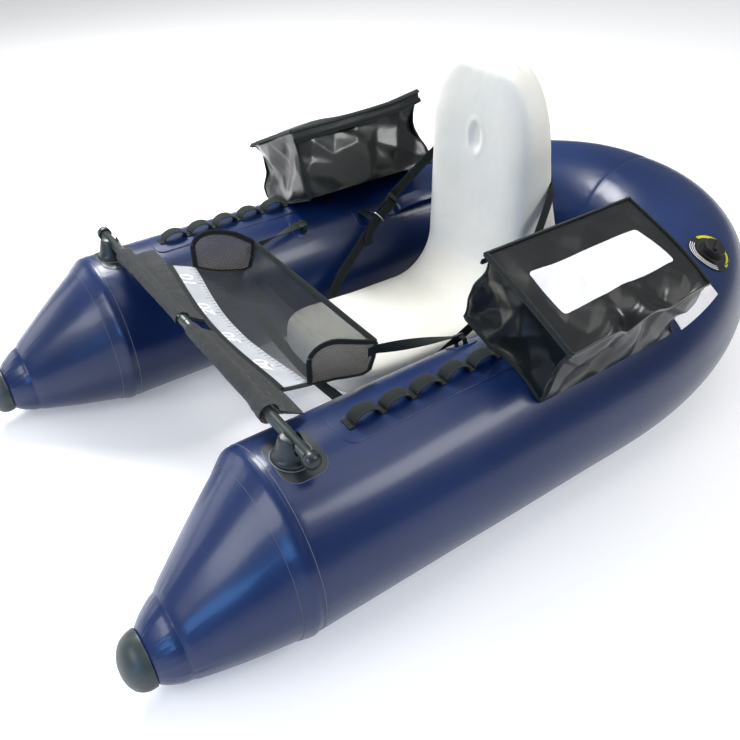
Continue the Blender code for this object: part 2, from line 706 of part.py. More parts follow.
def rail_stations(side):
    """Webbing that is stitched flat between its loops."""
    stations = []
    centre = side * TUBE_HALF_SPACING
    base = TUBE_TOP + PATCH_THICKNESS + 2 * GAP + WEB_THICKNESS / 2
    start = SEAM_Y + RAIL_AFT_OF_SEAM
    stations.append((Vector((centre, start - RAIL_STITCH, base)), ACROSS))
    for loop in range(RAIL_LOOPS):
        low = start + RAIL_PITCH * loop
        span = RAIL_PITCH - RAIL_STITCH
        for step in range(RAIL_STEPS + 1):
            share = step / RAIL_STEPS
            along = low + span / 2 * (1 - math.cos(math.pi * share))
            height = base + RAIL_RISE * math.sin(math.pi * share)
            stations.append((Vector((centre, along, height)), ACROSS))
    end = start + RAIL_PITCH * RAIL_LOOPS
    stations.append((Vector((centre, end, base)), ACROSS))
    return stations


def build_rails(skins):
    for side, word in SIDES:
        middle = RAIL_AFT_OF_SEAM + RAIL_PITCH * RAIL_LOOPS / 2 - RAIL_STITCH / 2
        length = RAIL_PITCH * RAIL_LOOPS + RAIL_STITCH + 2 * RAIL_PATCH_MARGIN
        outline = oval(length, RAIL_PATCH_WIDTH, RAIL_PATCH_MARGIN, 2)
        welded_patch(f"rail_patch_{word}", [outline], middle, 0, side, skins, NAVY)
        ribbon(f"tie_rail_{word}", rail_stations(side), WEB_WIDTH, WEB_THICKNESS, BLACK_WEB)


def bag_place(side):
    """Frame of a bag: X across its base toward the outside, Y aft, Z square to the base."""
    tilt = BAG_TILT_LEFT if side == LEFT else BAG_TILT_RIGHT
    inboard = BAG_INBOARD_LEFT if side == LEFT else BAG_INBOARD_RIGHT
    normal = Vector((side * math.sin(tilt), 0, math.cos(tilt)))
    across = Vector((side * math.cos(tilt), 0, -math.sin(tilt)))
    axis = Vector((side * TUBE_HALF_SPACING, SEAM_Y + BAG_AFT_OF_SEAM, TUBE_RADIUS))
    origin = axis + normal * (TUBE_RADIUS + BAG_LIFT) - across * inboard
    matrix = Matrix((across, AFT, normal)).transposed().to_4x4()
    return Matrix.Translation(origin) @ matrix, origin, across, normal


def build_bags(skins):
    """Box bags with an open top, a bound lid that folds outward, a base pad and a webbing tie."""
    for side, word in SIDES:
        place, origin, across, normal = bag_place(side)
        half_width, half_length = BAG_WIDTH / 2, BAG_LENGTH / 2
        depth = BAG_HEIGHT - LID_THICKNESS - GAP
        body = box(f"bag_body_{word}", (-half_width, -half_length, 0), (half_width, half_length, depth),
                   place, BLACK_TARP, rounding=BAG_EDGE_ROUND)
        hollow = box(f"bag_hollow_{word}",
                     (-half_width + BAG_WALL, -half_length + BAG_WALL, BAG_WALL),
                     (half_width - BAG_WALL, half_length - BAG_WALL, depth + CUT_OVERRUN),
                     place, None, CUTTERS, rounding=BAG_EDGE_ROUND - BAG_WALL)
        boolean(body, hollow)
        hinge = axis_empty(f"bag_hinge_{word}", origin + across * (half_width + LID_OVERHANG)
                           + normal * (depth + GAP))
        lid_low, lid_high = depth + GAP, depth + GAP + LID_THICKNESS
        reach = half_width + LID_OVERHANG
        end = half_length + LID_OVERHANG
        flap_outline = [(-reach, lid_high), (-reach, lid_high - LID_FLAP),
                        (-reach + LID_OVERHANG - GAP, lid_high - LID_FLAP),
                        (-reach + LID_OVERHANG - GAP, lid_low), (reach, lid_low), (reach, lid_high)]
        section = place @ frame(Vector((0, 0, 0)), ACROSS, -AFT)
        flat_piece(f"bag_lid_{word}", [flap_outline], 2 * end, section, BLACK_TARP, parent=hinge)
        inboard = BAG_INBOARD_LEFT if side == LEFT else BAG_INBOARD_RIGHT
        pad = box(f"bag_pad_{word}",
                  (inboard - BAG_PAD_WIDTH / 2, -BAG_PAD_LENGTH / 2, -PATCH_DEPTH / 4),
                  (inboard + BAG_PAD_WIDTH / 2, BAG_PAD_LENGTH / 2, -GAP), place, BLACK_WEB)
        boolean(pad, skins[side][0])


def pan_rise(along):
    """How far the pan's middle line has risen above its low end, and its slope there."""
    pan = SEAT_BACK_AFT_OF_SEAM - SEAT_BEND_RADIUS - SEAT_FRONT_AFT_OF_SEAM
    return SEAT_FRONT_RISE * (1 - along / pan) ** 2, -2 * SEAT_FRONT_RISE / pan * (1 - along / pan)


def under_pan(aft_of_seam):
    """Height of a web that lies under the pan, and the direction of its width."""
    rise, slope = pan_rise(aft_of_seam - SEAT_FRONT_AFT_OF_SEAM)
    height = SEAT_PAN_HEIGHT + rise - SEAT_THICKNESS / 2 - WEB_THICKNESS / 2 - GAP
    return height, (AFT + UP * slope).normalized()


def seat_path():
    """Middle line of the L-shaped foam: pan, bend and back, as (aft, height, heading angle)."""
    front = SEAM_Y + SEAT_FRONT_AFT_OF_SEAM
    back = SEAM_Y + SEAT_BACK_AFT_OF_SEAM
    bend_start = back - SEAT_BEND_RADIUS
    path = []
    pan = bend_start - front
    cap = SEAT_FRONT_ROUND
    stops = [0, SEAT_EDGE_ROUND / 8, SEAT_EDGE_ROUND / 2, SEAT_EDGE_ROUND, cap * 2 / 3]
    stops += [cap + (pan - cap) * step / SEAT_PAN_STEPS for step in range(SEAT_PAN_STEPS)]
    for along in stops:
        path.append((front + along, SEAT_PAN_HEIGHT + pan_rise(along)[0], 0, along))
    for step in range(7):
        turn = math.pi / 2 * step / 6
        path.append((bend_start + SEAT_BEND_RADIUS * math.sin(turn),
                     SEAT_PAN_HEIGHT + SEAT_BEND_RADIUS * (1 - math.cos(turn)), turn, None))
    bottom = SEAT_PAN_HEIGHT + SEAT_BEND_RADIUS
    crown = SEAT_TOP_HEIGHT - SEAT_DOME
    for step in range(1, SEAT_BACK_STEPS + 1):
        height = bottom + (crown - bottom) * step / SEAT_BACK_STEPS
        path.append((back, height, math.pi / 2, None))
    for turn in (18, 34, 48, 60, 71, 80, 86):
        path.append((back, crown + SEAT_DOME * math.sin(math.radians(turn)), math.pi / 2, None))
    path.append((back, SEAT_TOP_HEIGHT, math.pi / 2, None))
    return path


def seat_half_width(aft, height, along):
    """The back closes in a dome and the pan's front corners are round."""
    crown = SEAT_TOP_HEIGHT - SEAT_DOME
    if height > crown:
        share = min((height - crown) / SEAT_DOME, 1)
        return SEAT_HALF_WIDTH * max(1 - share ** 2.3, 0) ** (1 / 2.3)
    if along is not None and along < SEAT_FRONT_ROUND:
        share = 1 - along / SEAT_FRONT_ROUND
        return SEAT_HALF_WIDTH - SEAT_FRONT_ROUND * (1 - math.sqrt(max(1 - share ** 2, 0)))
    return SEAT_HALF_WIDTH


def seat_half_thickness(height, along):
    """The foam's rim is rounded over at the front and the top."""
    if along is not None:
        gap = along
    else:
        gap = SEAT_TOP_HEIGHT - height
    if gap >= SEAT_EDGE_ROUND:
        return SEAT_THICKNESS / 2
    share = 1 - gap / SEAT_EDGE_ROUND
    return SEAT_THICKNESS / 2 - SEAT_EDGE_ROUND * (1 - math.sqrt(max(1 - share ** 2, 0)))


def seat_swell(height):
    """How much thicker the back is behind, most at its foot, and how fast that shrinks upward."""
    reach = SEAT_TOP_HEIGHT - SEAT_PAN_HEIGHT - SEAT_BEND_RADIUS
    share = min((SEAT_TOP_HEIGHT - height) / reach, 1)
    return SEAT_LUMBAR * share ** 2, 2 * SEAT_LUMBAR * share / reach


def build_seat():
    rings = []
    power = 2 / SEAT_SECTION_SQUARENESS
    for aft, height, turn, along in seat_path():
        swell = seat_swell(height)[0] * math.sin(turn) ** 2
        normal = Vector((0, -math.sin(turn), math.cos(turn)))
        half = max(seat_half_width(aft, height, along), SEAT_EDGE_ROUND / 2)
        thick = max(seat_half_thickness(height, along), GAP)
        ring = []
        for index in range(SEAT_SECTION_POINTS):
            angle = 2 * math.pi * (index + 1 / 2) / SEAT_SECTION_POINTS
            cosine, sine = math.cos(angle), math.sin(angle)
            across = math.copysign(abs(cosine) ** power, cosine) * half
            up = math.copysign(abs(sine) ** power, sine) * (thick if sine > 0 else thick + swell)
            ring.append(Vector((across, aft, height)) + normal * up)
        rings.append(ring)
    seat = loft("seat", rings, FOAM)
    bm = bmesh.new()
    bmesh.ops.create_uvsphere(bm, u_segments=16, v_segments=8, radius=1)
    front = SEAM_Y + SEAT_BACK_AFT_OF_SEAM - SEAT_THICKNESS / 2
    squash = Matrix.Diagonal((SEAT_DIMPLE_RADIUS, SEAT_DIMPLE_DEPTH, SEAT_DIMPLE_RADIUS, 1))
    bmesh.ops.transform(bm, matrix=Matrix.Translation((0, front, SEAT_DIMPLE_HEIGHT)) @ squash,
                        verts=bm.verts)
    boolean(seat, link_mesh("seat_dimple", mesh_from("seat_dimple", bm), None, CUTTERS))


def buckle_frame(side):
    """Frame of a buckle: X up along the strap, Y across the web, Z away from the seat."""
    spot = Vector((side * BUCKLE_HALF_SPACING, SEAM_Y + BUCKLE_AFT_OF_SEAM, BUCKLE_HEIGHT))
    along = Vector((0, math.cos(BUCKLE_SLOPE), math.sin(BUCKLE_SLOPE)))
    return frame(spot, along, ACROSS * side)


def buckle_path(side, end):
    """The web dives through one slot of the buckle; end is 1 for the upper strap, -1 for the lower."""
    place = buckle_frame(side)
    level = (WEB_THICKNESS + BUCKLE_THICKNESS) / 2 + GAP
    slot = (BUCKLE_BAR + BUCKLE_SLOT) / 2
    dive = BUCKLE_SLOT / 5
    across = place.to_3x3() @ Vector((0, side, 0))
    points = ((BUCKLE_BAR / 2, -level), (slot - dive, -level), (slot + dive, level + GAP),
              (BUCKLE_LENGTH / 2 + 3 * WEB_THICKNESS, level + 3 * GAP))
    return [(place @ Vector((end * along, 0, out)), across) for along, out in points]


def seat_rim(side, degrees):
    """Point of the web's path around the edge of the seat back."""
    turns = STRAP_RIM_LEFT if side == LEFT else STRAP_RIM_RIGHT
    power = 2 / SEAT_SECTION_SQUARENESS
    angle = math.radians(degrees)
    standoff = STRAP_STANDOFF if degrees < turns[-1] else WEB_THICKNESS / 2 + 4 * GAP
    left_over = (90 - degrees) / (90 - turns[0])
    climb = STRAP_BACK_HEIGHT - STRAP_BACK_DROP * left_over ** 2
    reach = math.copysign(abs(math.sin(angle)) ** power, angle)
    swell, slope = seat_swell(climb) if degrees > 0 else (0, 0)
    out = (SEAT_HALF_WIDTH + standoff) * math.cos(angle) ** power
    back = reach * (SEAT_THICKNESS / 2 + swell + standoff)
    across = UP - AFT * slope * reach
    if degrees == turns[0]:
        across = UP - AFT
        out += STRAP_STANDOFF
    return Vector((side * out, SEAM_Y + SEAT_BACK_AFT_OF_SEAM + back, climb)), across


def strap_line(side):
    """Run of the lower web beside the seat: start, direction, width direction, way to the seat."""
    start, across = buckle_path(side, -1)[-1]
    end = Vector((side * STRAP_SIDE_HALF_SPACING, SEAM_Y + STRAP_SIDE_AFT_OF_SEAM, STRAP_SIDE_HEIGHT))
    along = (end - start).normalized()
    across = (across - along * across.dot(along)).normalized()
    inward = along.cross(across)
    if inward.x * side > 0:
        inward = -inward
    return start, end, along, across, inward


def build_straps():
    """One web goes round the back of the seat, one under its pan, joined at the side buckles."""
    upper, lower = {}, {}
    under, below = under_pan(STRAP_UNDER_AFT_OF_SEAM)
    aft = SEAM_Y + STRAP_UNDER_AFT_OF_SEAM
    edge = SEAT_HALF_WIDTH + STRAP_STANDOFF
    for side in (LEFT, RIGHT):
        turns = STRAP_RIM_LEFT if side == LEFT else STRAP_RIM_RIGHT
        upper[side] = buckle_path(side, 1) + [seat_rim(side, turn) for turn in turns]
        _, end, _, across, _ = strap_line(side)
        lower[side] = buckle_path(side, -1) + [
            (end, across),
            (Vector((side * (edge + WEB_THICKNESS), aft, under + WEB_WIDTH)), across - AFT),
            (Vector((side * (edge - WEB_WIDTH / 3), aft, under + WEB_THICKNESS)), -below),
            (Vector((side * (edge - WEB_WIDTH), aft, under)), -below)]
    ribbon("back_strap", upper[LEFT] + upper[RIGHT][::-1], WEB_WIDTH, WEB_THICKNESS, BLACK_WEB)
    ribbon("under_strap", lower[LEFT] + lower[RIGHT][::-1], WEB_WIDTH, WEB_THICKNESS, BLACK_WEB)


def build_buckles():
    """Ladder buckles with three bars, and the loose tail of webbing behind each."""
    slot = (BUCKLE_BAR + BUCKLE_SLOT) / 2
    half, width = BUCKLE_SLOT / 2, WEB_WIDTH / 2 + BUCKLE_BAR / 3
    level = (WEB_THICKNESS + BUCKLE_THICKNESS) / 2 + GAP
    for side, word in SIDES:
        place = buckle_frame(side)
        outlines = [oval(BUCKLE_LENGTH, BUCKLE_WIDTH, BUCKLE_ROUND, 3)]
        for centre in (slot, -slot):
            outlines.append([(centre - half, -width), (centre + half, -width), (centre + half, width),
                             (centre - half, width)])
        flat_piece(f"strap_buckle_{word}", outlines, BUCKLE_THICKNESS, place, CLIP_NYLON)
        start, _, along, across, inward = strap_line(side)
        beside = WEB_THICKNESS + 3 * GAP
        stations = [(place @ Vector((0, 0, -level - WEB_THICKNESS - 2 * GAP)), across),
                    (place @ Vector((-BUCKLE_LENGTH / 4, 0, -level - WEB_THICKNESS - 2 * GAP)), across),
                    (place @ Vector((-BUCKLE_LENGTH / 2, 0, -level - GAP)), across)]
        spot = start + inward * beside + along * RING_BELOW_BUCKLE
        stations.append((spot, across))
        spot = spot + along * TAIL_STRAIGHT
        stations.append((spot, across))
        for step in range(1, TAIL_STEPS + 1):
            turn = TAIL_TURN * step
            spot = spot + (along * math.cos(turn) - across * math.sin(turn)) * TAIL_STEP
            stations.append((spot, across * math.cos(turn) + along * math.sin(turn)))
        ribbon(f"strap_tail_{word}", stations, WEB_WIDTH, WEB_THICKNESS, BLACK_WEB)


def build_rings(skins):
    """Wire D-rings round the strap, each held by a web tab that is sewn under a patch on the tube."""
    for side, word in SIDES:
        start, _, along, across, inward = strap_line(side)
        spot = start + along * RING_BELOW_BUCKLE
        bar = RING_DEPTH * RING_OUT_SHARE
        half = RING_WIDTH / 2
        middle = spot - inward * bar
        points = [middle + across * half, middle, middle - across * half]
        for step in range(7):
            angle = math.pi * step / 6
            points.append(spot - across * half * math.cos(angle)
                          + inward * (RING_DEPTH - bar) * math.sin(angle))
        wire(f"strap_ring_{word}", points, RING_WIRE / 2, NICKEL, cyclic=True)
        point, normal, heading = on_hull(RING_AFT_OF_SEAM, RING_LEAN, side)
        toward = middle - point
        length = toward.length + 2 * WEB_THICKNESS
        toward = (toward - across * toward.dot(across)).normalized()
        reach = RING_WIRE / 2 + GAP + WEB_THICKNESS / 2
        lift = toward.cross(across) * reach
        stations = [(middle - toward * length + lift, across)]
        for step in range(7):
            angle = math.pi * step / 6
            stations.append((middle + lift * math.cos(angle) + toward * reach * math.sin(angle), across))
        stations.append((middle - toward * length - lift, across))
        tab = ribbon(f"ring_tab_{word}", stations, WEB_WIDTH, WEB_THICKNESS, None)
        move_to_cutters(tab)
        outline = oval(RING_PATCH_SIZE, RING_PATCH_SIZE, RING_PATCH_SIZE / 4)
        anchor = flat_piece(f"ring_anchor_{word}", [outline], PATCH_DEPTH, frame(point, heading, normal),
                            NAVY)
        boolean(anchor, skins[side][1], "INTERSECT")
        boolean(anchor, tab, "UNION")
        boolean(anchor, skins[side][0])


def move_to_cutters(item):
    PARTS.objects.unlink(item)
    CUTTERS.objects.link(item)
    item.hide_render = True
    item.display_type = "WIRE"


def build_front_sling(skins):
    """Web under the front of the pan, welded to both tubes."""
    aft = FRONT_SLING_AFT_OF_SEAM
    reach = aft + WEB_WIDTH / 2 - SEAT_FRONT_AFT_OF_SEAM
    under = (SEAT_PAN_HEIGHT + pan_rise(reach)[0] - seat_half_thickness(0, reach) - WEB_THICKNESS / 2
             - GAP)
    stations = {}
    for side in (LEFT, RIGHT):
        above = WEB_THICKNESS / 2 + GAP
        foot = [on_hull(aft, FRONT_SLING_LEAN + FRONT_SLING_FOOT * share, side, above)[0]
                for share in (1, 2 / 3, 1 / 3, 0)]
        leave = foot[-1] - UP * WEB_WIDTH - ACROSS * side * WEB_WIDTH / 4
        edge = Vector((side * (SEAT_HALF_WIDTH - SEAT_FRONT_ROUND), SEAM_Y + aft, under))
        stations[side] = [(point, AFT) for point in foot + [leave, edge]]
    sling = ribbon("front_sling", stations[LEFT] + stations[RIGHT][::-1], WEB_WIDTH, WEB_THICKNESS,
                   BLACK_WEB)
    for side in (LEFT, RIGHT):
        boolean(sling, skins[side][0])


def build_handles(skins):
    """Grab handle: a band of fabric that arches between two feet on one long patch."""
    for side, word in SIDES:
        stations = []
        half = HANDLE_LENGTH / 2
        rest = WEB_THICKNESS
        for along in (-half - HANDLE_FOOT, -half - HANDLE_FOOT / 2):
            stations.append((along, rest))
        for step in range(HANDLE_STEPS + 1):
            share = step / HANDLE_STEPS
            stations.append((-half * math.cos(math.pi * share),
                             rest + HANDLE_RISE * math.sin(math.pi * share) ** (2 / 3)))
        for along in (half + HANDLE_FOOT / 2, half + HANDLE_FOOT):
            stations.append((along, rest))
        path = []
        for along, above in stations:
            point, normal, heading = on_hull(HANDLE_AFT_OF_SEAM + along, HANDLE_LEAN, side, above)
            path.append((point, heading.cross(normal)))
        band = ribbon(f"handle_band_{word}", path, HANDLE_WIDTH, HANDLE_THICKNESS, None)
        move_to_cutters(band)
        point, normal, heading = on_hull(HANDLE_AFT_OF_SEAM, HANDLE_LEAN, side)
        length = HANDLE_LENGTH + 2 * HANDLE_FOOT + 2 * HANDLE_PATCH_MARGIN
        width = HANDLE_WIDTH + 2 * HANDLE_PATCH_MARGIN
        handle = flat_piece(f"grab_handle_{word}", [oval(length, width, width / 2 - GAP)], PATCH_DEPTH,
                            frame(point, heading, normal), NAVY)
        boolean(handle, skins[side][1], "INTERSECT")
        boolean(handle, band, "UNION")
        boolean(handle, skins[side][0])


def sleeve_frame():
    """Section plane of the apron: X aft, Y up, Z across, origin on the bar's axis."""
    return frame(Vector((0, BAR_Y, BAR_HEIGHT)), AFT, ACROSS)


def pouch_columns():
    return [POUCH_HALF_WIDTH * (2 * index / POUCH_COLUMNS - 1) for index in range(POUCH_COLUMNS + 1)]


def pouch_profile():
    """Rows of the apron behind its sleeve: (aft of the bar, above the bar, share of the sag)."""
    slope = math.atan2(SLEEVE_DROP, SLEEVE_BAND)
    first = math.hypot(SLEEVE_BAND, SLEEVE_DROP) + SLEEVE_THICKNESS + GAP
    rows = [(first * math.cos(slope), -first * math.sin(slope), 0)]
    brink = (SLEEVE_BAND + POUCH_BAND, -SLEEVE_DROP - POUCH_BAND_DROP)
    rows.append((*brink, 0))
    for along, down in POUCH_FLOOR_SHARES:
        rows.append((brink[0] + POUCH_LENGTH * along, brink[1] - POUCH_DEPTH * down, down))
    low = rows[-1]
    for lean, rise in POUCH_BACK_SHARES:
        rows.append((low[0] + POUCH_BACK_LEAN * lean, low[1] + POUCH_BACK_RISE * rise, low[2] * (1 - rise)))
    return rows


def build_apron(skins):
    """Mesh apron: a sleeve round the bar, a flat band, a sagging pouch and an arched gusset each side."""
    hinge = axis_empty("apron_axis", (0, BAR_Y, BAR_HEIGHT))
    inner = BAR_RADIUS + SLEEVE_CLEARANCE
    outer = inner + SLEEVE_THICKNESS
    slope = math.atan2(SLEEVE_DROP, SLEEVE_BAND)
    length = math.hypot(SLEEVE_BAND, SLEEVE_DROP)
    spread = math.asin(SLEEVE_THICKNESS / outer)
    rim = []
    for step in range(SLEEVE_SIDES + 1):
        angle = -slope + spread + (2 * math.pi - 2 * spread) * step / SLEEVE_SIDES
        rim.append((outer * math.cos(angle), outer * math.sin(angle)))
    for offset in (-SLEEVE_THICKNESS, SLEEVE_THICKNESS):
        rim.append((length * math.cos(slope) + offset * math.sin(slope),
                    -length * math.sin(slope) + offset * math.cos(slope)))
    hole = [(inner * math.cos(2 * math.pi * step / SLEEVE_SIDES),
             inner * math.sin(2 * math.pi * step / SLEEVE_SIDES)) for step in range(SLEEVE_SIDES)]
    sleeve = flat_piece("apron_sleeve", [rim, hole], 2 * SLEEVE_HALF_WIDTH, sleeve_frame(), MESH,
                        parent=hinge)
    window = box("sleeve_window", (-SLEEVE_WINDOW / 2, -outer - CUT_OVERRUN, -outer - CUT_OVERRUN),
                 (SLEEVE_WINDOW / 2, outer + SLEEVE_WINDOW_BAND, outer + CUT_OVERRUN),
                 Matrix.Translation((0, BAR_Y, BAR_HEIGHT)), None, CUTTERS)
    boolean(sleeve, window)
    build_pouch(hinge)
    build_ruler(hinge)
    for side, word in SIDES:
        build_apron_strap(side, word, hinge)
        build_apron_anchor(side, word, skins)


def build_pouch(hinge):
    rows = pouch_profile()
    bm = bmesh.new()
    grid = []
    for aft, up, sag in rows:
        line = []
        for across in pouch_columns():
            drop = POUCH_SAG * sag * (1 - (across / POUCH_HALF_WIDTH) ** 2)
            line.append(bm.verts.new((across, BAR_Y + aft, BAR_HEIGHT + up - drop)))
        grid.append(line)
    for first, second in zip(grid, grid[1:]):
        for index in range(POUCH_COLUMNS):
            bm.faces.new((first[index], first[index + 1], second[index + 1], second[index]))
    brink, rim = rows[1], rows[-1]
    for column, side in ((0, -1), (POUCH_COLUMNS, 1)):
        arch = [bm.verts.new((side * POUCH_HALF_WIDTH, BAR_Y + brink[0] + (rim[0] - brink[0]) * along,
                              BAR_HEIGHT + brink[1] + GUSSET_RISE * rise))
                for along, rise in GUSSET_SHARES]
        bm.faces.new([line[column] for line in grid[1:]] + arch)
    mesh = mesh_from("apron_pouch", bm)
    pouch = link_mesh("apron_pouch", mesh, MESH, parent=hinge)
    skin = pouch.modifiers.new("cloth", "SOLIDIFY")
    skin.thickness = POUCH_THICKNESS
    skin.offset = 0
    skin.use_even_offset = True


def build_ruler(hinge):
    """White measuring strip sewn along the apron's flat band."""
    start, brink = pouch_profile()[:2]
    slope = math.atan2(start[1] - brink[1], brink[0] - start[0])
    middle = Vector((0, BAR_Y + (start[0] + brink[0]) / 2, BAR_HEIGHT + (start[1] + brink[1]) / 2))
    along = Vector((0, math.cos(slope), -math.sin(slope)))
    place = frame(middle, ACROSS, ACROSS.cross(along))
    low = POUCH_THICKNESS / 2 + GAP
    box("measuring_strip", (-RULER_HALF_LENGTH, -RULER_WIDTH / 2, low),
        (RULER_HALF_LENGTH, RULER_WIDTH / 2, low + RULER_THICKNESS), place, STRIP_WHITE, parent=hinge)


def hook_frame(side):
    """Top of the webbing loop on the tube: X aft, Y out of the tube."""
    top, normal, heading = on_hull(APRON_HOOK_AFT_OF_SEAM, APRON_HOOK_LEAN, side, APRON_LOOP_RISE)
    return frame(top, heading, heading.cross(normal))


def build_apron_strap(side, word, hinge):
    """Corner strap with a half twist and a flat hook that drops over the loop on the tube."""
    rim = pouch_profile()[-1]
    place = hook_frame(side)
    low = WEB_THICKNESS / 2 + GAP
    half = APRON_LOOP_WIDTH / 2 + GAP
    front = -half - APRON_HOOK_TONGUE
    outline = [(front, low), (half, low), (half, -APRON_HOOK_LEG), (half + APRON_HOOK_WALL, -APRON_HOOK_LEG),
               (half + APRON_HOOK_WALL, low + APRON_HOOK_WALL), (front, low + APRON_HOOK_WALL)]
    hook = flat_piece(f"apron_strap_{word}", [outline], APRON_HOOK_WIDTH, place, BLACK_WEB, parent=hinge)
    outside = POUCH_HALF_WIDTH + POUCH_THICKNESS / 2 + WEB_THICKNESS / 2 + GAP
    corner = Vector((side * outside, BAR_Y + rim[0] - APRON_STRAP_WIDTH / 2,
                     BAR_HEIGHT + rim[1] - APRON_STRAP_WIDTH / 3))
    end = place @ Vector((front + APRON_HOOK_TONGUE * 3 / 4, low + APRON_HOOK_WALL / 2, 0))
    lead = (corner - AFT * APRON_STRAP_WIDTH)
    across_end = place.to_3x3() @ Vector((0, 0, side))
    stations = [(lead, UP), (corner, UP)]
    flat = UP
    axis = (end - corner).normalized()
    for step in range(1, APRON_STRAP_STEPS + 1):
        share = step / APRON_STRAP_STEPS
        stations.append((corner.lerp(end, share),
                         twist(flat, across_end, axis, share)))
    band = ribbon(f"apron_web_{word}", stations, APRON_STRAP_WIDTH, WEB_THICKNESS, None)
    move_to_cutters(band)
    boolean(hook, band, "UNION")


def twist(first, last, axis, share):
    """Web direction between two ends, taking a half turn on the way."""
    first = (first - axis * first.dot(axis)).normalized()
    last = (last - axis * last.dot(axis)).normalized()
    other = axis.cross(first)
    angle = math.atan2(last.dot(other), last.dot(first))
    if abs(angle) < math.pi / 2:
        angle -= math.copysign(math.pi, angle)
    turned_by = angle * share
    return first * math.cos(turned_by) + other * math.sin(turned_by)


def build_apron_anchor(side, word, skins):
    """Patch on the tube with a short upright loop of webbing."""
    stations = []
    for spread, rise in ((-1, -1 / 4), (-1, 2 / 3), (-1 / 2, 1), (1 / 2, 1), (1, 2 / 3), (1, -1 / 4)):
        point = on_hull(APRON_HOOK_AFT_OF_SEAM, APRON_HOOK_LEAN + APRON_LOOP_SPREAD * spread, side,
                        APRON_LOOP_RISE * rise)[0]
        stations.append((point, AFT))
    loop = ribbon(f"apron_loop_{word}", stations, APRON_LOOP_WIDTH, WEB_THICKNESS, None)
    move_to_cutters(loop)
    point, normal, heading = on_hull(APRON_HOOK_AFT_OF_SEAM, APRON_HOOK_LEAN, side)
    outline = oval(APRON_PATCH_SIZE, APRON_PATCH_SIZE, APRON_PATCH_SIZE / 4)
    anchor = flat_piece(f"apron_anchor_{word}", [outline], PATCH_DEPTH, frame(point, heading, normal),
                        NAVY)
    boolean(anchor, skins[side][1], "INTERSECT")
    boolean(anchor, loop, "UNION")
    boolean(anchor, skins[side][0])


def valve_frame(side):
    """Seat of a valve on the stern quarter, Z out of the tube."""
    centre, heading = stern_axis(VALVE_TURN, side), stern_heading(VALVE_TURN, side)
    outward = heading.cross(UP).normalized() * side
    top = outward.cross(heading).normalized() * side
    normal = top * math.cos(VALVE_LEAN) + outward * math.sin(VALVE_LEAN)
    return frame(centre + normal * TUBE_RADIUS, heading, normal)


def build_valves(skins):
    """Valve body with a bored seat, the sprung stem in it and a twist cap with a finger grip."""
    for side, word in SIDES:
        place = valve_frame(side)
        boss, floor, flange = VALVE_BOSS_HEIGHT, VALVE_FLOOR_HEIGHT, VALVE_FLANGE_HEIGHT
        profile = [(VALVE_HOLE_RADIUS, floor), (VALVE_BORE_RADIUS, floor), (VALVE_BORE_RADIUS, boss),
                   (VALVE_BOSS_RADIUS, boss), (VALVE_BOSS_RADIUS, flange), (VALVE_FLANGE_RADIUS, flange),
                   (VALVE_FLANGE_RADIUS, -VALVE_SINK), (VALVE_HOLE_RADIUS, -VALVE_SINK)]
        body = turned(f"valve_body_{word}", profile, place, VALVE_BLACK, 28, True)
        boolean(body, skins[side][0])
        hinge = axis_empty(f"valve_axis_{word}", place.translation)
        top = boss + GAP + VALVE_CAP_HEIGHT
        plug = VALVE_BORE_RADIUS - GAP * 2
        profile = [(0, top), (VALVE_CAP_RADIUS - GAP * 4, top), (VALVE_CAP_RADIUS, top - GAP * 4),
                   (VALVE_CAP_RADIUS, boss + GAP), (plug, boss + GAP), (plug, boss - GAP * 4),
                   (0, boss - GAP * 4)]
        cap = turned(f"valve_cap_{word}", profile, place, VALVE_BLACK, 28, parent=hinge)
        grip = box(f"valve_grip_{word}", (-VALVE_CAP_RADIUS * 3 / 4, -VALVE_GRIP_WIDTH / 2, top - GAP),
                   (VALVE_CAP_RADIUS * 3 / 4, VALVE_GRIP_WIDTH / 2, top + VALVE_CAP_GRIP), place, None,
                   CUTTERS)
        boolean(cap, grip, "UNION")
        rest = VALVE_STEM_TRAVEL + 2 * GAP
        profile = [(0, rest + VALVE_STEM_HEIGHT), (VALVE_STEM_RADIUS, rest + VALVE_STEM_HEIGHT),
                   (VALVE_STEM_RADIUS, rest), (0, rest)]
        turned(f"valve_stem_{word}", profile, place, VALVE_BLACK, 14, parent=hinge)


def build_bag_ties(skins):
    for side, word in SIDES:
        outline = oval(BAG_TIE_WIDTH, BAG_TIE_LENGTH, BAG_TIE_WIDTH / 6, 1)
        welded_patch(f"bag_tie_{word}", [outline], BAG_AFT_OF_SEAM - BAG_TIE_FORWARD, BAG_TIE_LEAN, side,
                     skins, BLACK_WEB)


def main():
    build_hull()
    skins = hull_cutters()
    build_clips(skins)
    build_bar()
    build_rails(skins)
    build_bags(skins)
    build_bag_ties(skins)
    build_seat()
    build_straps()
    build_buckles()
    build_rings(skins)
    build_front_sling(skins)
    build_handles(skins)
    build_apron(skins)
    build_valves(skins)


main()
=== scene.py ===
"""Dressed float tube: an inflatable U-shaped hull with seat, bar, apron, rails and side bags.

+X is the sitter's left, +Y the stern, +Z up, in metres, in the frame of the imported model.
"""
import json
import logging
import random
from dataclasses import dataclass
from enum import Enum
from math import asin, atan2, copysign, cos, exp, hypot, pi, radians, sin, sqrt
from typing import Callable, Sequence

import bpy
from mathutils import Matrix, Vector, noise


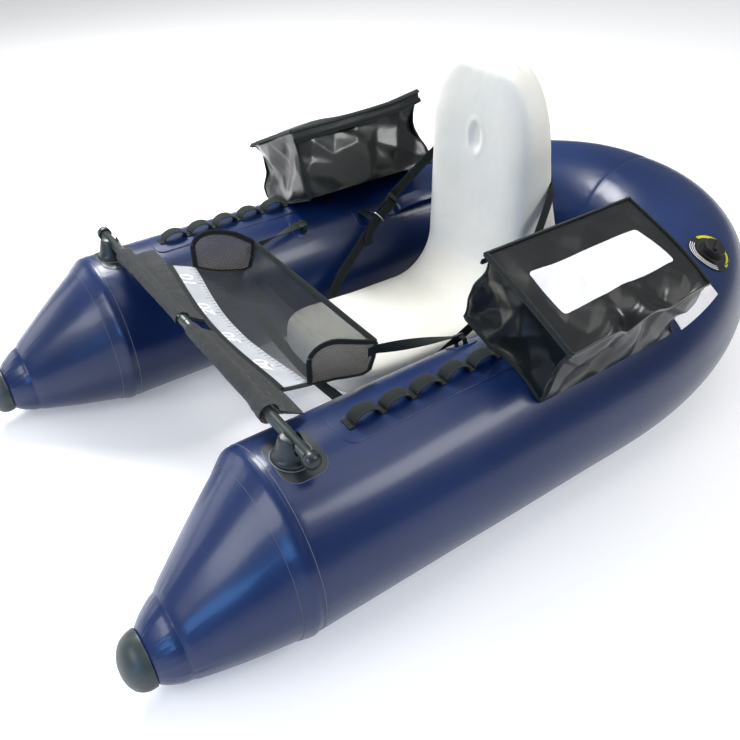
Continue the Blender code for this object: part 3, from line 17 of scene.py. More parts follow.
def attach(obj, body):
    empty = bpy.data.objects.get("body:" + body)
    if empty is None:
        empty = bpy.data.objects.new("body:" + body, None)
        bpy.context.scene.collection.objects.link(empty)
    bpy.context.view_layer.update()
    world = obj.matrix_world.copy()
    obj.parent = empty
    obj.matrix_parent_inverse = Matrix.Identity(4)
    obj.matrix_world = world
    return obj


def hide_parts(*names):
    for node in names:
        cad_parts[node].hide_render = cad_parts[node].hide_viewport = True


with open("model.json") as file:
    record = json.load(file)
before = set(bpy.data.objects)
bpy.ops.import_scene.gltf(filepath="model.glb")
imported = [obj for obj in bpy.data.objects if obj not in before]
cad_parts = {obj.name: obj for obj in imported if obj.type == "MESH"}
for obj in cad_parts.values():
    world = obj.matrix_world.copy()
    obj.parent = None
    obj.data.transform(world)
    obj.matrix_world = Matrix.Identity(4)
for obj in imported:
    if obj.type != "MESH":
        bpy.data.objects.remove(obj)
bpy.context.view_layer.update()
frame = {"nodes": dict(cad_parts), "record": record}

LOG = logging.getLogger("float_tube")
UP, AFT, ACROSS = Vector((0, 0, 1)), Vector((0, 1, 0)), Vector((1, 0, 0))
SIDES = ((1, "left"), (-1, "right"))
Piece = bpy.types.Object
Colour = tuple[float, float, float]
Place = Callable[[float, float], Vector]
Weave = Callable[[float, float], tuple[float, float]]
Section = Callable[[float], tuple[Vector, Vector, float]]
Station = tuple[Vector, Vector]


# Shader tools


class Signal:
    """A node's output socket with arithmetic, so that shader maths reads as Python."""

    def __init__(self, graph: "Graph", socket: bpy.types.NodeSocket) -> None:
        """Wraps a socket of a graph."""
        self.graph = graph
        self.socket = socket

    def _math(self, operation: str, *values: "Signal | float") -> "Signal":
        """Adds a Math node."""
        return self.graph.node("ShaderNodeMath", {"operation": operation}, dict(enumerate(values)))

    def __add__(self, other: "Signal | float") -> "Signal":
        """Sum."""
        return self._math("ADD", self, other)

    def __radd__(self, other: float) -> "Signal":
        """Sum with a number on the left."""
        return self._math("ADD", other, self)

    def __sub__(self, other: "Signal | float") -> "Signal":
        """Difference."""
        return self._math("SUBTRACT", self, other)

    def __rsub__(self, other: float) -> "Signal":
        """Difference from a number."""
        return self._math("SUBTRACT", other, self)

    def __mul__(self, other: "Signal | float") -> "Signal":
        """Product."""
        return self._math("MULTIPLY", self, other)

    def __rmul__(self, other: float) -> "Signal":
        """Product with a number on the left."""
        return self._math("MULTIPLY", other, self)

    def __gt__(self, other: "Signal | float") -> "Signal":
        """One where this is greater, otherwise zero."""
        return self._math("GREATER_THAN", self, other)

    def __lt__(self, other: "Signal | float") -> "Signal":
        """One where this is less, otherwise zero."""
        return self._math("LESS_THAN", self, other)

    def __abs__(self) -> "Signal":
        """Absolute value."""
        return self._math("ABSOLUTE", self)

    def sine(self) -> "Signal":
        """Sine of the value in radians."""
        return self._math("SINE", self)

    def larger(self, other: "Signal | float") -> "Signal":
        """The larger of the two."""
        return self._math("MAXIMUM", self, other)

    def smaller(self, other: "Signal | float") -> "Signal":
        """The smaller of the two."""
        return self._math("MINIMUM", self, other)

    def ramp(self, low: float, high: float, start: float = 0.0, end: float = 1.0) -> "Signal":
        """Maps low..high to start..end, held at both ends."""
        return self.graph.node("ShaderNodeMapRange", {"clamp": True},
                               {0: self, 1: low, 2: high, 3: start, 4: end})


class Graph:
    """The node tree of one material, or of the world, with its shader."""

    def __init__(self, owner: "bpy.types.Material | bpy.types.World",
                 shader: str = "Principled BSDF") -> None:
        """Starts on a material or a world, with the name of its shader node."""
        owner.use_nodes = True
        self.owner = owner
        self.tree = owner.node_tree
        self.shader = self.tree.nodes[shader]

    def node(self, kind: str, settings: dict, sockets: dict, output: int | str = 0) -> Signal:
        """Adds a node.

        Args:
            kind: the node's type.
            settings: its properties, set first.
            sockets: values, or signals to link, by the input's name or number.
            output: the output to return.

        Returns:
            The chosen output.
        """
        made = self.tree.nodes.new(kind)
        for key, value in settings.items():
            setattr(made, key, value)
        for key, value in sockets.items():
            self.feed(made.inputs[key], value)
        return Signal(self, made.outputs[output])

    def feed(self, target: bpy.types.NodeSocket, value: "Signal | float | Sequence[float]") -> None:
        """Sets a socket, or links a signal to it.

        Args:
            target: an input of a node.
            value: a number, a colour or a signal.
        """
        if isinstance(value, Signal):
            self.tree.links.new(value.socket, target)
        elif isinstance(value, (tuple, list)) and len(value) == 3 and target.type == "RGBA":
            target.default_value = (*value, 1.0)
        else:
            target.default_value = value

    def surface(self, **values: "Signal | float | Sequence[float]") -> None:
        """Feeds the shader; a keyword's underscores stand for spaces."""
        for key, value in values.items():
            self.feed(self.shader.inputs[key.replace("_", " ")], value)

    def here(self) -> Signal:
        """Object coordinates."""
        return self.node("ShaderNodeTexCoord", {}, {}, "Object")

    def weave(self) -> Signal:
        """The piece's own metres across and along the cloth."""
        return self.node("ShaderNodeAttribute", {"attribute_name": "weave"}, {}, "Vector")

    def parts(self, vector: Signal) -> tuple[Signal, Signal, Signal]:
        """The three numbers of a vector."""
        first = self.node("ShaderNodeSeparateXYZ", {}, {0: vector})
        outputs = first.socket.node.outputs
        return first, Signal(self, outputs[1]), Signal(self, outputs[2])

    def cloud(self, scale: float, detail: float = 3.0, vector: Signal | None = None) -> Signal:
        """Noise from zero to one, with scale in cycles per metre."""
        return self.node("ShaderNodeTexNoise", {}, {"Vector": vector or self.here(), "Scale": scale,
                                                    "Detail": detail})

    def mix(self, share: "Signal | float", first: "Signal | Colour", second: "Signal | Colour") -> Signal:
        """Blend of two colours."""
        return self.node("ShaderNodeMix", {"data_type": "RGBA"}, {0: share, 6: first, 7: second}, 2)

    def bump(self, height: Signal, distance: float, strength: float) -> Signal:
        """Normal from a height; distance in metres."""
        sockets = {"Strength": strength, "Distance": distance, "Height": height}
        return self.node("ShaderNodeBump", {}, sockets)


# Finishes


@dataclass(frozen=True)
class Look:
    """What every material has, and how it is made."""

    name: str
    colour: Colour

    @property
    def material(self) -> bpy.types.Material:
        """The material, made on first use."""
        title = self.name + "_look"
        made = bpy.data.materials.get(title)
        if made is None:
            graph = Graph(bpy.data.materials.new(title))
            self.paint(graph)
            made = graph.owner
        return made

    def paint(self, graph: Graph) -> None:
        """Feeds the shader; each kind of material has its own way."""
        raise NotImplementedError

    def tinted(self, gain: float, lift: float = 0.0) -> Colour:
        """The colour made brighter or duller."""
        return tuple(channel * gain + lift for channel in self.colour)


@dataclass(frozen=True)
class CoatedCloth(Look):
    """Welded PVC cloth with a soft gloss: faint scrim, slow colour drift and dusty low spots."""

    roughness: float
    scrim: float = 0.0009
    coat: float = 0.25
    shine: float = 0.30

    def paint(self, graph: Graph) -> None:
        """Feeds the shader."""
        x, y, z = graph.parts(graph.here())
        turn = 2 * pi / self.scrim
        threads = (x * turn).sine() * (y * turn).sine() * (z * turn).sine()
        slow = graph.cloud(3.0, 4.0)
        fine = graph.cloud(140.0, 4.0)
        graph.surface(Base_Color=graph.mix(slow.ramp(0.35, 0.75), self.colour, self.tinted(1.5, 0.004)),
                      Roughness=self.roughness + 0.12 * fine * slow.ramp(0.3, 0.7),
                      Specular_IOR_Level=self.shine, Coat_Weight=self.coat, Coat_Roughness=0.16,
                      Normal=graph.bump(threads * 0.25 + fine, 0.00025, 0.35))


@dataclass(frozen=True)
class Webbing(Look):
    """Woven strap: ribs across it, a bound edge and a little fluff."""

    rib: float = 0.0016
    width: float = 0.025

    def paint(self, graph: Graph) -> None:
        """Feeds the shader."""
        across, along, _ = graph.parts(graph.weave())
        rows = (along * (pi / self.rib)).sine()
        picks = (across * (2 * pi / self.rib / 1.3)).sine()
        weave = abs(rows) * (0.65 + 0.35 * picks)
        fluff = graph.cloud(900.0, 2.0)
        seam = abs(abs(across) - (self.width / 2 - 0.0022)).ramp(0.0003, 0.0007, 1.0, 0.0)
        stitches = seam * ((along * (pi / 0.0022)).sine() > 0.25)
        cloth = graph.mix((weave * fluff).ramp(0.15, 0.65), self.colour, self.tinted(1.7, 0.002))
        graph.surface(Base_Color=graph.mix(stitches, cloth, self.tinted(4.0, 0.030)),
                      Roughness=0.66 + 0.2 * fluff, Specular_IOR_Level=0.25, Sheen_Weight=0.10,
                      Sheen_Roughness=0.4, Normal=graph.bump(weave + 0.25 * fluff, 0.0004, 0.8))


@dataclass(frozen=True)
class Moulded(Look):
    """Moulded plastic or rubber with a fine spark-eroded grain and rubbed high spots."""

    roughness: float
    grain: float = 1200.0

    def paint(self, graph: Graph) -> None:
        """Feeds the shader."""
        grain = graph.cloud(self.grain, 3.0)
        rubbed = graph.cloud(24.0, 5.0)
        graph.surface(Base_Color=graph.mix(rubbed.ramp(0.45, 0.8), self.colour, self.tinted(1.7, 0.006)),
                      Roughness=self.roughness + 0.18 * rubbed - 0.06,
                      Normal=graph.bump(grain, 0.00012, 0.5))


@dataclass(frozen=True)
class Metal(Look):
    """Painted or plated metal with fine length-wise scratches."""

    roughness: float
    metallic: float

    def paint(self, graph: Graph) -> None:
        """Feeds the shader."""
        stretched = graph.node("ShaderNodeMapping", {}, {"Vector": graph.here(), "Scale": (0.02, 1.0, 1.0)})
        lines = graph.cloud(900.0, 2.0, stretched)
        marks = graph.cloud(35.0, 5.0)
        graph.surface(Base_Color=graph.mix(marks.ramp(0.4, 0.8), self.colour, self.tinted(1.35)),
                      Metallic=self.metallic, Roughness=self.roughness + 0.14 * lines,
                      Normal=graph.bump(lines, 0.00008, 0.3))


@dataclass(frozen=True)
class Foam(Look):
    """Off-white moulded foam under a thin knitted skin, a little grey where it is handled."""

    def paint(self, graph: Graph) -> None:
        """Feeds the shader."""
        knit = graph.node("ShaderNodeTexVoronoi", {"feature": "F1"},
                          {"Vector": graph.here(), "Scale": 520.0, "Randomness": 0.7})
        pores = graph.cloud(260.0, 4.0)
        soil = graph.cloud(6.0, 5.0)
        warm = tuple(channel * tint for channel, tint in zip(self.colour, (0.93, 0.92, 0.87)))
        graph.surface(Base_Color=graph.mix(soil.ramp(0.42, 0.72) * 0.7 + pores * 0.2, self.colour, warm),
                      Roughness=0.62 + 0.2 * pores, Sheen_Weight=0.1,
                      Subsurface_Weight=0.04, Subsurface_Scale=0.004,
                      Normal=graph.bump(knit * 0.6 + pores, 0.0006, 0.55))


@dataclass(frozen=True)
class MeshCloth(Look):
    """Open net: round holes in staggered rows, seen through by its alpha."""

    pitch: float
    hole_share: float
    thread: Colour

    def paint(self, graph: Graph) -> None:
        """Feeds the shader."""
        across, along, _ = graph.parts(graph.weave())
        turn = pi / self.pitch
        first = abs(((across + along * 0.577) * turn).sine())
        second = abs(((across - along * 0.577) * turn).sine())
        third = abs((along * 1.1547 * turn).sine())
        threads = first.smaller(second).smaller(third)
        solid = threads < self.hole_share
        fluff = graph.cloud(1200.0, 2.0)
        graph.surface(Base_Color=graph.mix(fluff.ramp(0.3, 0.8), self.colour, self.thread),
                      Alpha=solid, Roughness=0.75 + 0.2 * fluff, Sheen_Weight=0.2,
                      Normal=graph.bump(threads.ramp(0.0, 0.7, 1.0, 0.0), 0.0004, 0.6))


@dataclass(frozen=True)
class Plate(Look):
    """Smooth printed sheet with a faint orange peel and scuffs."""

    roughness: float

    def paint(self, graph: Graph) -> None:
        """Feeds the shader."""
        peel = graph.cloud(420.0, 2.0)
        scuff = graph.cloud(30.0, 6.0)
        graph.surface(Base_Color=graph.mix(scuff.ramp(0.5, 0.8), self.colour, self.tinted(0.86)),
                      Roughness=self.roughness + 0.2 * scuff,
                      Normal=graph.bump(peel, 0.0001, 0.4))


class Finishes(Enum):
    """Every finish of the part, each with the record's slot that it belongs to."""

    NAVY = (CoatedCloth("navy_pvc", (0.0016, 0.0125, 0.062), 0.30), "navy_pvc")
    # The two finishes below are lighter than the cloth under them: painted highlight on the raised edges of
    # patches, welds and the cradles' feet.
    BLUE_EDGE = (CoatedCloth("cut_edge_blue", (0.035, 0.060, 0.170), 0.35), "navy_pvc")
    PALE_EDGE = (Plate("cut_edge_pale", (0.16, 0.18, 0.20), 0.45), "patch_pvc")
    PATCH = (CoatedCloth("patch_pvc", (0.008, 0.013, 0.016), 0.45), "patch_pvc")
    TARP = (CoatedCloth("black_tarpaulin", (0.0045, 0.0062, 0.0062), 0.28, 0.0012, 0.40, 0.32),
            "black_tarpaulin")
    WEB = (Webbing("black_webbing", (0.005, 0.009, 0.009)), "black_webbing")
    WEB_PLAIN = (CoatedCloth("plain_black_cloth", (0.006, 0.008, 0.009), 0.5), "black_webbing")
    BINDING = (Webbing("binding_tape", (0.006, 0.010, 0.010), 0.0009, 0.012), "black_webbing")
    NYLON = (Moulded("black_nylon", (0.010, 0.016, 0.018), 0.34), "nylon")
    RUBBER = (Moulded("nose_rubber", (0.021, 0.032, 0.033), 0.42, 700.0), "nose_rubber")
    VALVE = (Moulded("valve_plastic", (0.010, 0.010, 0.011), 0.32), "valve_plastic")
    BAR = (Metal("bar_metal", (0.060, 0.075, 0.072), 0.3, 0.7), "bar_metal")
    NICKEL = (Metal("nickel_wire", (0.60, 0.60, 0.62), 0.2, 1.0), "nickel_wire")
    FOAM = (Foam("white_foam", (0.77, 0.76, 0.70)), "white_foam")
    NET = (MeshCloth("black_mesh", (0.008, 0.011, 0.012), 0.0024, 0.30, (0.03, 0.036, 0.038)), "black_mesh")
    SLEEVE_NET = (MeshCloth("sleeve_mesh", (0.010, 0.013, 0.013), 0.0024, 0.48, (0.034, 0.040, 0.040)),
                  "black_mesh")
    GUSSET_NET = (MeshCloth("gusset_mesh", (0.085, 0.075, 0.060), 0.0062, 0.40, (0.30, 0.27, 0.22)),
                  "black_mesh")
    STRIP = (Plate("measuring_strip", (0.48, 0.50, 0.54), 0.32), "strip_white")
    NUMERALS = (Plate("strip_numerals", (0.90, 0.90, 0.91), 0.4), "strip_white")
    MARKS = (Plate("strip_marks", (0.03, 0.032, 0.036), 0.5), "strip_white")
    LABEL = (Plate("white_label", (0.80, 0.80, 0.82), 0.22), "strip_white")
    VALVE_PRINT = (Plate("valve_print", (0.006, 0.008, 0.010), 0.4), "valve_plastic")
    RING_INK = (Plate("valve_ring_ink", (0.52, 0.50, 0.03), 0.4), "valve_plastic")

    @property
    def material(self) -> bpy.types.Material:
        """The finish's material."""
        return self.value[0].material

    @property
    def slot(self) -> str:
        """The record's slot."""
        return self.value[1]


# Modelling tools


class Bench:
    """Stock shapes and finishing steps that the pieces share."""

    @staticmethod
    def clear() -> None:
        """Leaves edit mode and deselects everything."""
        if bpy.context.mode != "OBJECT":
            bpy.ops.object.mode_set(mode="OBJECT")
        bpy.ops.object.select_all(action="DESELECT")

    @staticmethod
    def pick(item: Piece) -> None:
        """Makes one object the only selected and active one."""
        Bench.clear()
        item.select_set(True)
        bpy.context.view_layer.objects.active = item

    @staticmethod
    def sheet(name: str, columns: int, stops: Sequence[float], place: Place, around: bool = False,
              capped: bool = False, weave: Weave | None = None) -> Piece:
        """Cuts a grid and lays each of its points where place says.

        Args:
            name: the piece's name.
            columns: faces across.
            stops: the second parameter's value at each row.
            place: the point at (share across, stop).
            around: the first and last columns meet, so the grid becomes a tube.
            capped: the tube's ends are filled.
            weave: metres across and along the cloth at (share, stop).

        Returns:
            The piece.
        """
        Bench.clear()
        rows = len(stops) - 1
        bpy.ops.mesh.primitive_grid_add(x_subdivisions=columns, y_subdivisions=rows, size=2)
        item = bpy.context.object
        item.name = name
        mesh = item.data
        mesh.name = name
        kept = mesh.attributes.new("weave", "FLOAT_VECTOR", "POINT") if weave else None
        for vertex in mesh.vertices:
            share = round((vertex.co.x + 1) / 2 * columns) / columns
            stop = stops[round((vertex.co.y + 1) / 2 * rows)]
            if kept:
                kept.data[vertex.index].vector = (*weave(share, stop), 0.0)
            vertex.co = place(share, stop)
        if around:
            Bench.pick(item)
            bpy.ops.object.mode_set(mode="EDIT")
            bpy.ops.mesh.select_all(action="SELECT")
            bpy.ops.mesh.remove_doubles(threshold=1e-6)
            if capped:
                bpy.ops.mesh.select_all(action="DESELECT")
                bpy.ops.mesh.select_non_manifold()
                bpy.ops.mesh.fill_holes(sides=0)
            bpy.ops.mesh.select_all(action="SELECT")
            bpy.ops.mesh.normals_make_consistent(inside=False)
            bpy.ops.object.mode_set(mode="OBJECT")
        return item

    @staticmethod
    def apply(item: Piece, kind: str, **settings: object) -> Piece:
        """Adds a modifier with its settings and applies it.

        Args:
            item: the piece.
            kind: the modifier's type.
            settings: its properties.

        Returns:
            The piece.
        """
        Bench.pick(item)
        modifier = item.modifiers.new(kind.lower(), kind)
        for key, value in settings.items():
            setattr(modifier, key, value)
        bpy.ops.object.modifier_apply(modifier=modifier.name)
        return item

    @staticmethod
    def thicken(item: Piece, thickness: float, offset: float = 0.0) -> Piece:
        """Gives a sheet its thickness."""
        return Bench.apply(item, "SOLIDIFY", thickness=thickness, offset=offset, use_even_offset=True)

    @staticmethod
    def tube(name: str, points: Sequence[Vector], radius: float, sides: int = 12, cyclic: bool = False,
             softness: int = 0) -> Piece:
        """Bends round wire along points; softness subdivides its path first.

        Args:
            name: the piece's name.
            points: its middle line.
            radius: of the wire.
            sides: faces round it.
            cyclic: its two ends meet.
            softness: steps of a smooth curve between points, or zero for straight runs.

        Returns:
            The wire.
        """
        Bench.clear()
        bpy.ops.curve.primitive_bezier_curve_add()
        item = bpy.context.object
        item.name = name
        curve = item.data
        curve.splines.clear()
        spline = curve.splines.new("NURBS" if softness else "POLY")
        spline.points.add(len(points) - 1)
        for target, point in zip(spline.points, points):
            target.co = (*point, 1)
        if softness:
            spline.order_u = 4
            spline.resolution_u = softness
            spline.use_endpoint_u = not cyclic
        spline.use_cyclic_u = cyclic
        curve.bevel_depth = radius
        curve.bevel_resolution = max((sides - 4) // 2, 0)
        curve.use_fill_caps = not cyclic
        bpy.ops.object.convert(target="MESH")
        item = bpy.context.object
        item.data.name = name
        return item

    @staticmethod
    def turned(name: str, profile: Sequence[tuple[float, float]], place: Matrix, steps: int) -> Piece:
        """Turns (radius, height) pairs, from the axis to the axis, about the placement's Z.

        Args:
            name: the piece's name.
            profile: radius and height of each row.
            place: its placement.
            steps: faces round it.

        Returns:
            The piece.
        """
        def spot(share: float, stop: float) -> Vector:
            """A point of the turned surface."""
            radius, height = profile[round(stop)]
            angle = 2 * pi * share
            return place @ Vector((radius * cos(angle), radius * sin(angle), height))

        return Bench.sheet(name, steps, range(len(profile)), spot, around=True, capped=True)

    @staticmethod
    def block(name: str, size: Sequence[float], place: Matrix, round_off: float,
              segments: int = 3) -> Piece:
        """A box with rounded edges, centred on the placement.

        Args:
            name: the piece's name.
            size: along X, Y and Z.
            place: its placement.
            round_off: width of the rounding.
            segments: faces across the rounding.

        Returns:
            The block.
        """
        Bench.clear()
        bpy.ops.mesh.primitive_cube_add(size=1)
        item = bpy.context.object
        item.name = name
        item.data.name = name
        item.data.transform(place @ Matrix.Diagonal((*size, 1)))
        bpy.ops.object.mode_set(mode="EDIT")
        bpy.ops.mesh.select_all(action="SELECT")
        bpy.ops.mesh.normals_make_consistent(inside=False)
        bpy.ops.mesh.bevel(offset=round_off, segments=segments, affect="EDGES")
        bpy.ops.object.mode_set(mode="OBJECT")
        return item

    @staticmethod
    def join(items: Sequence[Piece], name: str) -> Piece:
        """Joins pieces that are one sewn or moulded thing.

        Args:
            items: the pieces; the first takes in the others.
            name: the whole's name.

        Returns:
            The joined piece.
        """
        Bench.pick(items[0])
        for item in items:
            item.select_set(True)
        bpy.ops.object.join()
        items[0].name = name
        return items[0]

    @staticmethod
    def dress(item: Piece, finish: Finishes, body: str, *nodes: str, angle: float = 50.0
              ) -> Piece:
        """Shades a piece, gives it its finish and body, and hides the CAD nodes that it stands for.

        Args:
            item: the piece.
            finish: its finish.
            body: the CAD body that it rides on.
            nodes: the CAD nodes that it replaces.
            angle: shading is smooth up to this many degrees, and flat at zero.

        Returns:
            The piece.
        """
        if angle:
            Bench.pick(item)
            bpy.ops.object.shade_smooth_by_angle(angle=radians(angle))
        item.data.materials.clear()
        item.data.materials.append(finish.material)
        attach(item, body)
        if nodes:
            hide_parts(*nodes)
        LOG.info("%s: %d faces on %s", item.name, len(item.data.polygons), body)
        return item


def frame_of(origin: Vector, x_axis: Vector, z_axis: Vector) -> Matrix:
    """Placement with the given origin, X axis and Z axis."""
    z_axis = z_axis.normalized()
    y_axis = z_axis.cross(x_axis).normalized()
    turn = Matrix((y_axis.cross(z_axis), y_axis, z_axis)).transposed().to_4x4()
    return Matrix.Translation(origin) @ turn


def shares(count: int) -> list[float]:
    """The numbers from zero to one, in count even steps."""
    return [step / count for step in range(count + 1)]


def placed(place: Matrix, stations: Sequence[Station]) -> list[Station]:
    """Stations moved by a placement."""
    turn = place.to_3x3()
    return [(place @ point, turn @ across) for point, across in stations]


def softened(points: Sequence[Vector], steps: int) -> list[Vector]:
    """A smooth line through the points, with steps between each two.

    Args:
        points: the points.
        steps: parts between two points.

    Returns:
        The points of the line.
    """
    result = []
    for index in range(len(points) - 1):
        a, b, c, d = (points[min(max(index + offset, 0), len(points) - 1)] for offset in (-1, 0, 1, 2))
        for step in range(steps):
            t = step / steps
            result.append((b * 2 + (c - a) * t + (a * 2 - b * 5 + c * 4 - d) * t * t
                           + (b * 3 - a - c * 3 + d) * t ** 3) / 2)
    return result + [points[-1].copy()]


def strap(name: str, stations: Sequence[Station], width: float = 0.025,
          thickness: float = 0.0016, steps: int = 6) -> Piece:
    """Webbing along stations.

    Args:
        name: the piece's name.
        stations: points, each with the direction of the web's width.
        width: across the web.
        thickness: through it.
        steps: rows between stations.

    Returns:
        The strap, with its weave measured in metres.
    """
    spine = softened([point for point, _ in stations], steps)
    widths = softened([across.normalized() for _, across in stations], steps)
    lengths = [0.0]
    for first, second in zip(spine, spine[1:]):
        lengths.append(lengths[-1] + (second - first).length)
    edge = thickness / 2
    half = width / 2
    near, far, bevel, crown = half - edge, half - edge / 4, edge * 0.7, edge * 1.05
    section = [(near, edge), (0, crown), (-near, edge), (-far, bevel), (-half, 0), (-far, -bevel),
               (-near, -edge), (0, -crown), (near, -edge), (far, -bevel), (half, 0), (far, bevel)]
    frames = []
    for index, point in enumerate(spine):
        along = (spine[min(index + 1, len(spine) - 1)] - spine[max(index - 1, 0)]).normalized()
        side = (widths[index] - along * widths[index].dot(along)).normalized()
        frames.append((point, side, along.cross(side).normalized()))
    count = len(section)

    def spot(share: float, stop: float) -> Vector:
        """A point on the web's skin."""
        point, side, face = frames[round(stop)]
        across, lift = section[round(share * count) % count]
        return point + side * across + face * lift

    def weave(share: float, stop: float) -> tuple[float, float]:
        """Metres across and along."""
        return section[round(share * count) % count][0], lengths[round(stop)]

    return Bench.sheet(name, count, range(len(spine)), spot, around=True, capped=True, weave=weave)


# The hull and what is welded to it


@dataclass
class HullForm:
    """The hull's shape: a straight tube, a stern quarter and a bow cone with its nose, mirrored."""

    radius: float = 0.155
    half_spacing: float = 0.350
    seam_y: float = -0.544
    straight: float = 0.665
    stern_reach: float = 0.532
    stern_rise: float = 0.042
    squareness: float = 2.3
    cone_length: float = 0.180
    cone_radius: float = 0.070
    cone_height: float = 0.088
    cone_splay: float = 0.022
    cone_crown: float = 0.003
    band_length: float = 0.044
    band_radius: float = 0.044
    band_height: float = 0.079
    band_splay: float = 0.025
    cap_length: float = 0.040
    cap_lip: float = 0.0015
    cap_drop: float = 0.007
    shoulder: float = 0.030

    def stern_axis(self, turn: float, side: int) -> Vector:
        """Tube axis on the stern curve, from the straight tube (0) to the middle (a quarter turn)."""
        power = 2 / self.squareness
        across = self.half_spacing * max(cos(turn), 0.0) ** power
        aft = self.seam_y + self.straight + self.stern_reach * sin(turn) ** power
        lift = self.stern_rise * (1 - cos(2 * turn)) / 2
        return Vector((side * across, aft, self.radius + lift))

    def stern_heading(self, turn: float, side: int) -> Vector:
        """Direction of the tube axis on the stern curve.

        Args:
            turn: on the curve, in radians.
            side: 1 for left, -1 for right.

        Returns:
            A unit vector.
        """
        step = 0.004
        if turn < step:
            return AFT.copy()
        if turn > pi / 2 - step:
            return Vector((-side, 0, 0))
        return (self.stern_axis(turn + step, side) - self.stern_axis(turn - step, side)).normalized()

    def axis_at(self, aft: float, side: int) -> tuple[Vector, Vector]:
        """Axis point and heading at a distance aft of the bow seam."""
        if aft <= self.straight:
            return Vector((side * self.half_spacing, self.seam_y + aft, self.radius)), AFT.copy()
        turn = asin(min(((aft - self.straight) / self.stern_reach) ** (self.squareness / 2), 1))
        return self.stern_axis(turn, side), self.stern_heading(turn, side)

    def on(self, aft: float, lean: float, side: int, above: float = 0.0) -> tuple[Vector, Vector, Vector]:
        """Point, outward normal and heading on the tube; lean is outward from the top.

        Args:
            aft: distance aft of the bow seam.
            lean: outward from the top, in radians.
            side: 1 for left, -1 for right.
            above: height over the skin.

        Returns:
            Point, normal and heading.
        """
        centre, heading = self.axis_at(aft, side)
        outward = heading.cross(UP).normalized() * side
        top = outward.cross(heading).normalized() * side
        normal = top * cos(lean) + outward * sin(lean)
        return centre + normal * (self.radius + above), normal, heading


FORM = HullForm()


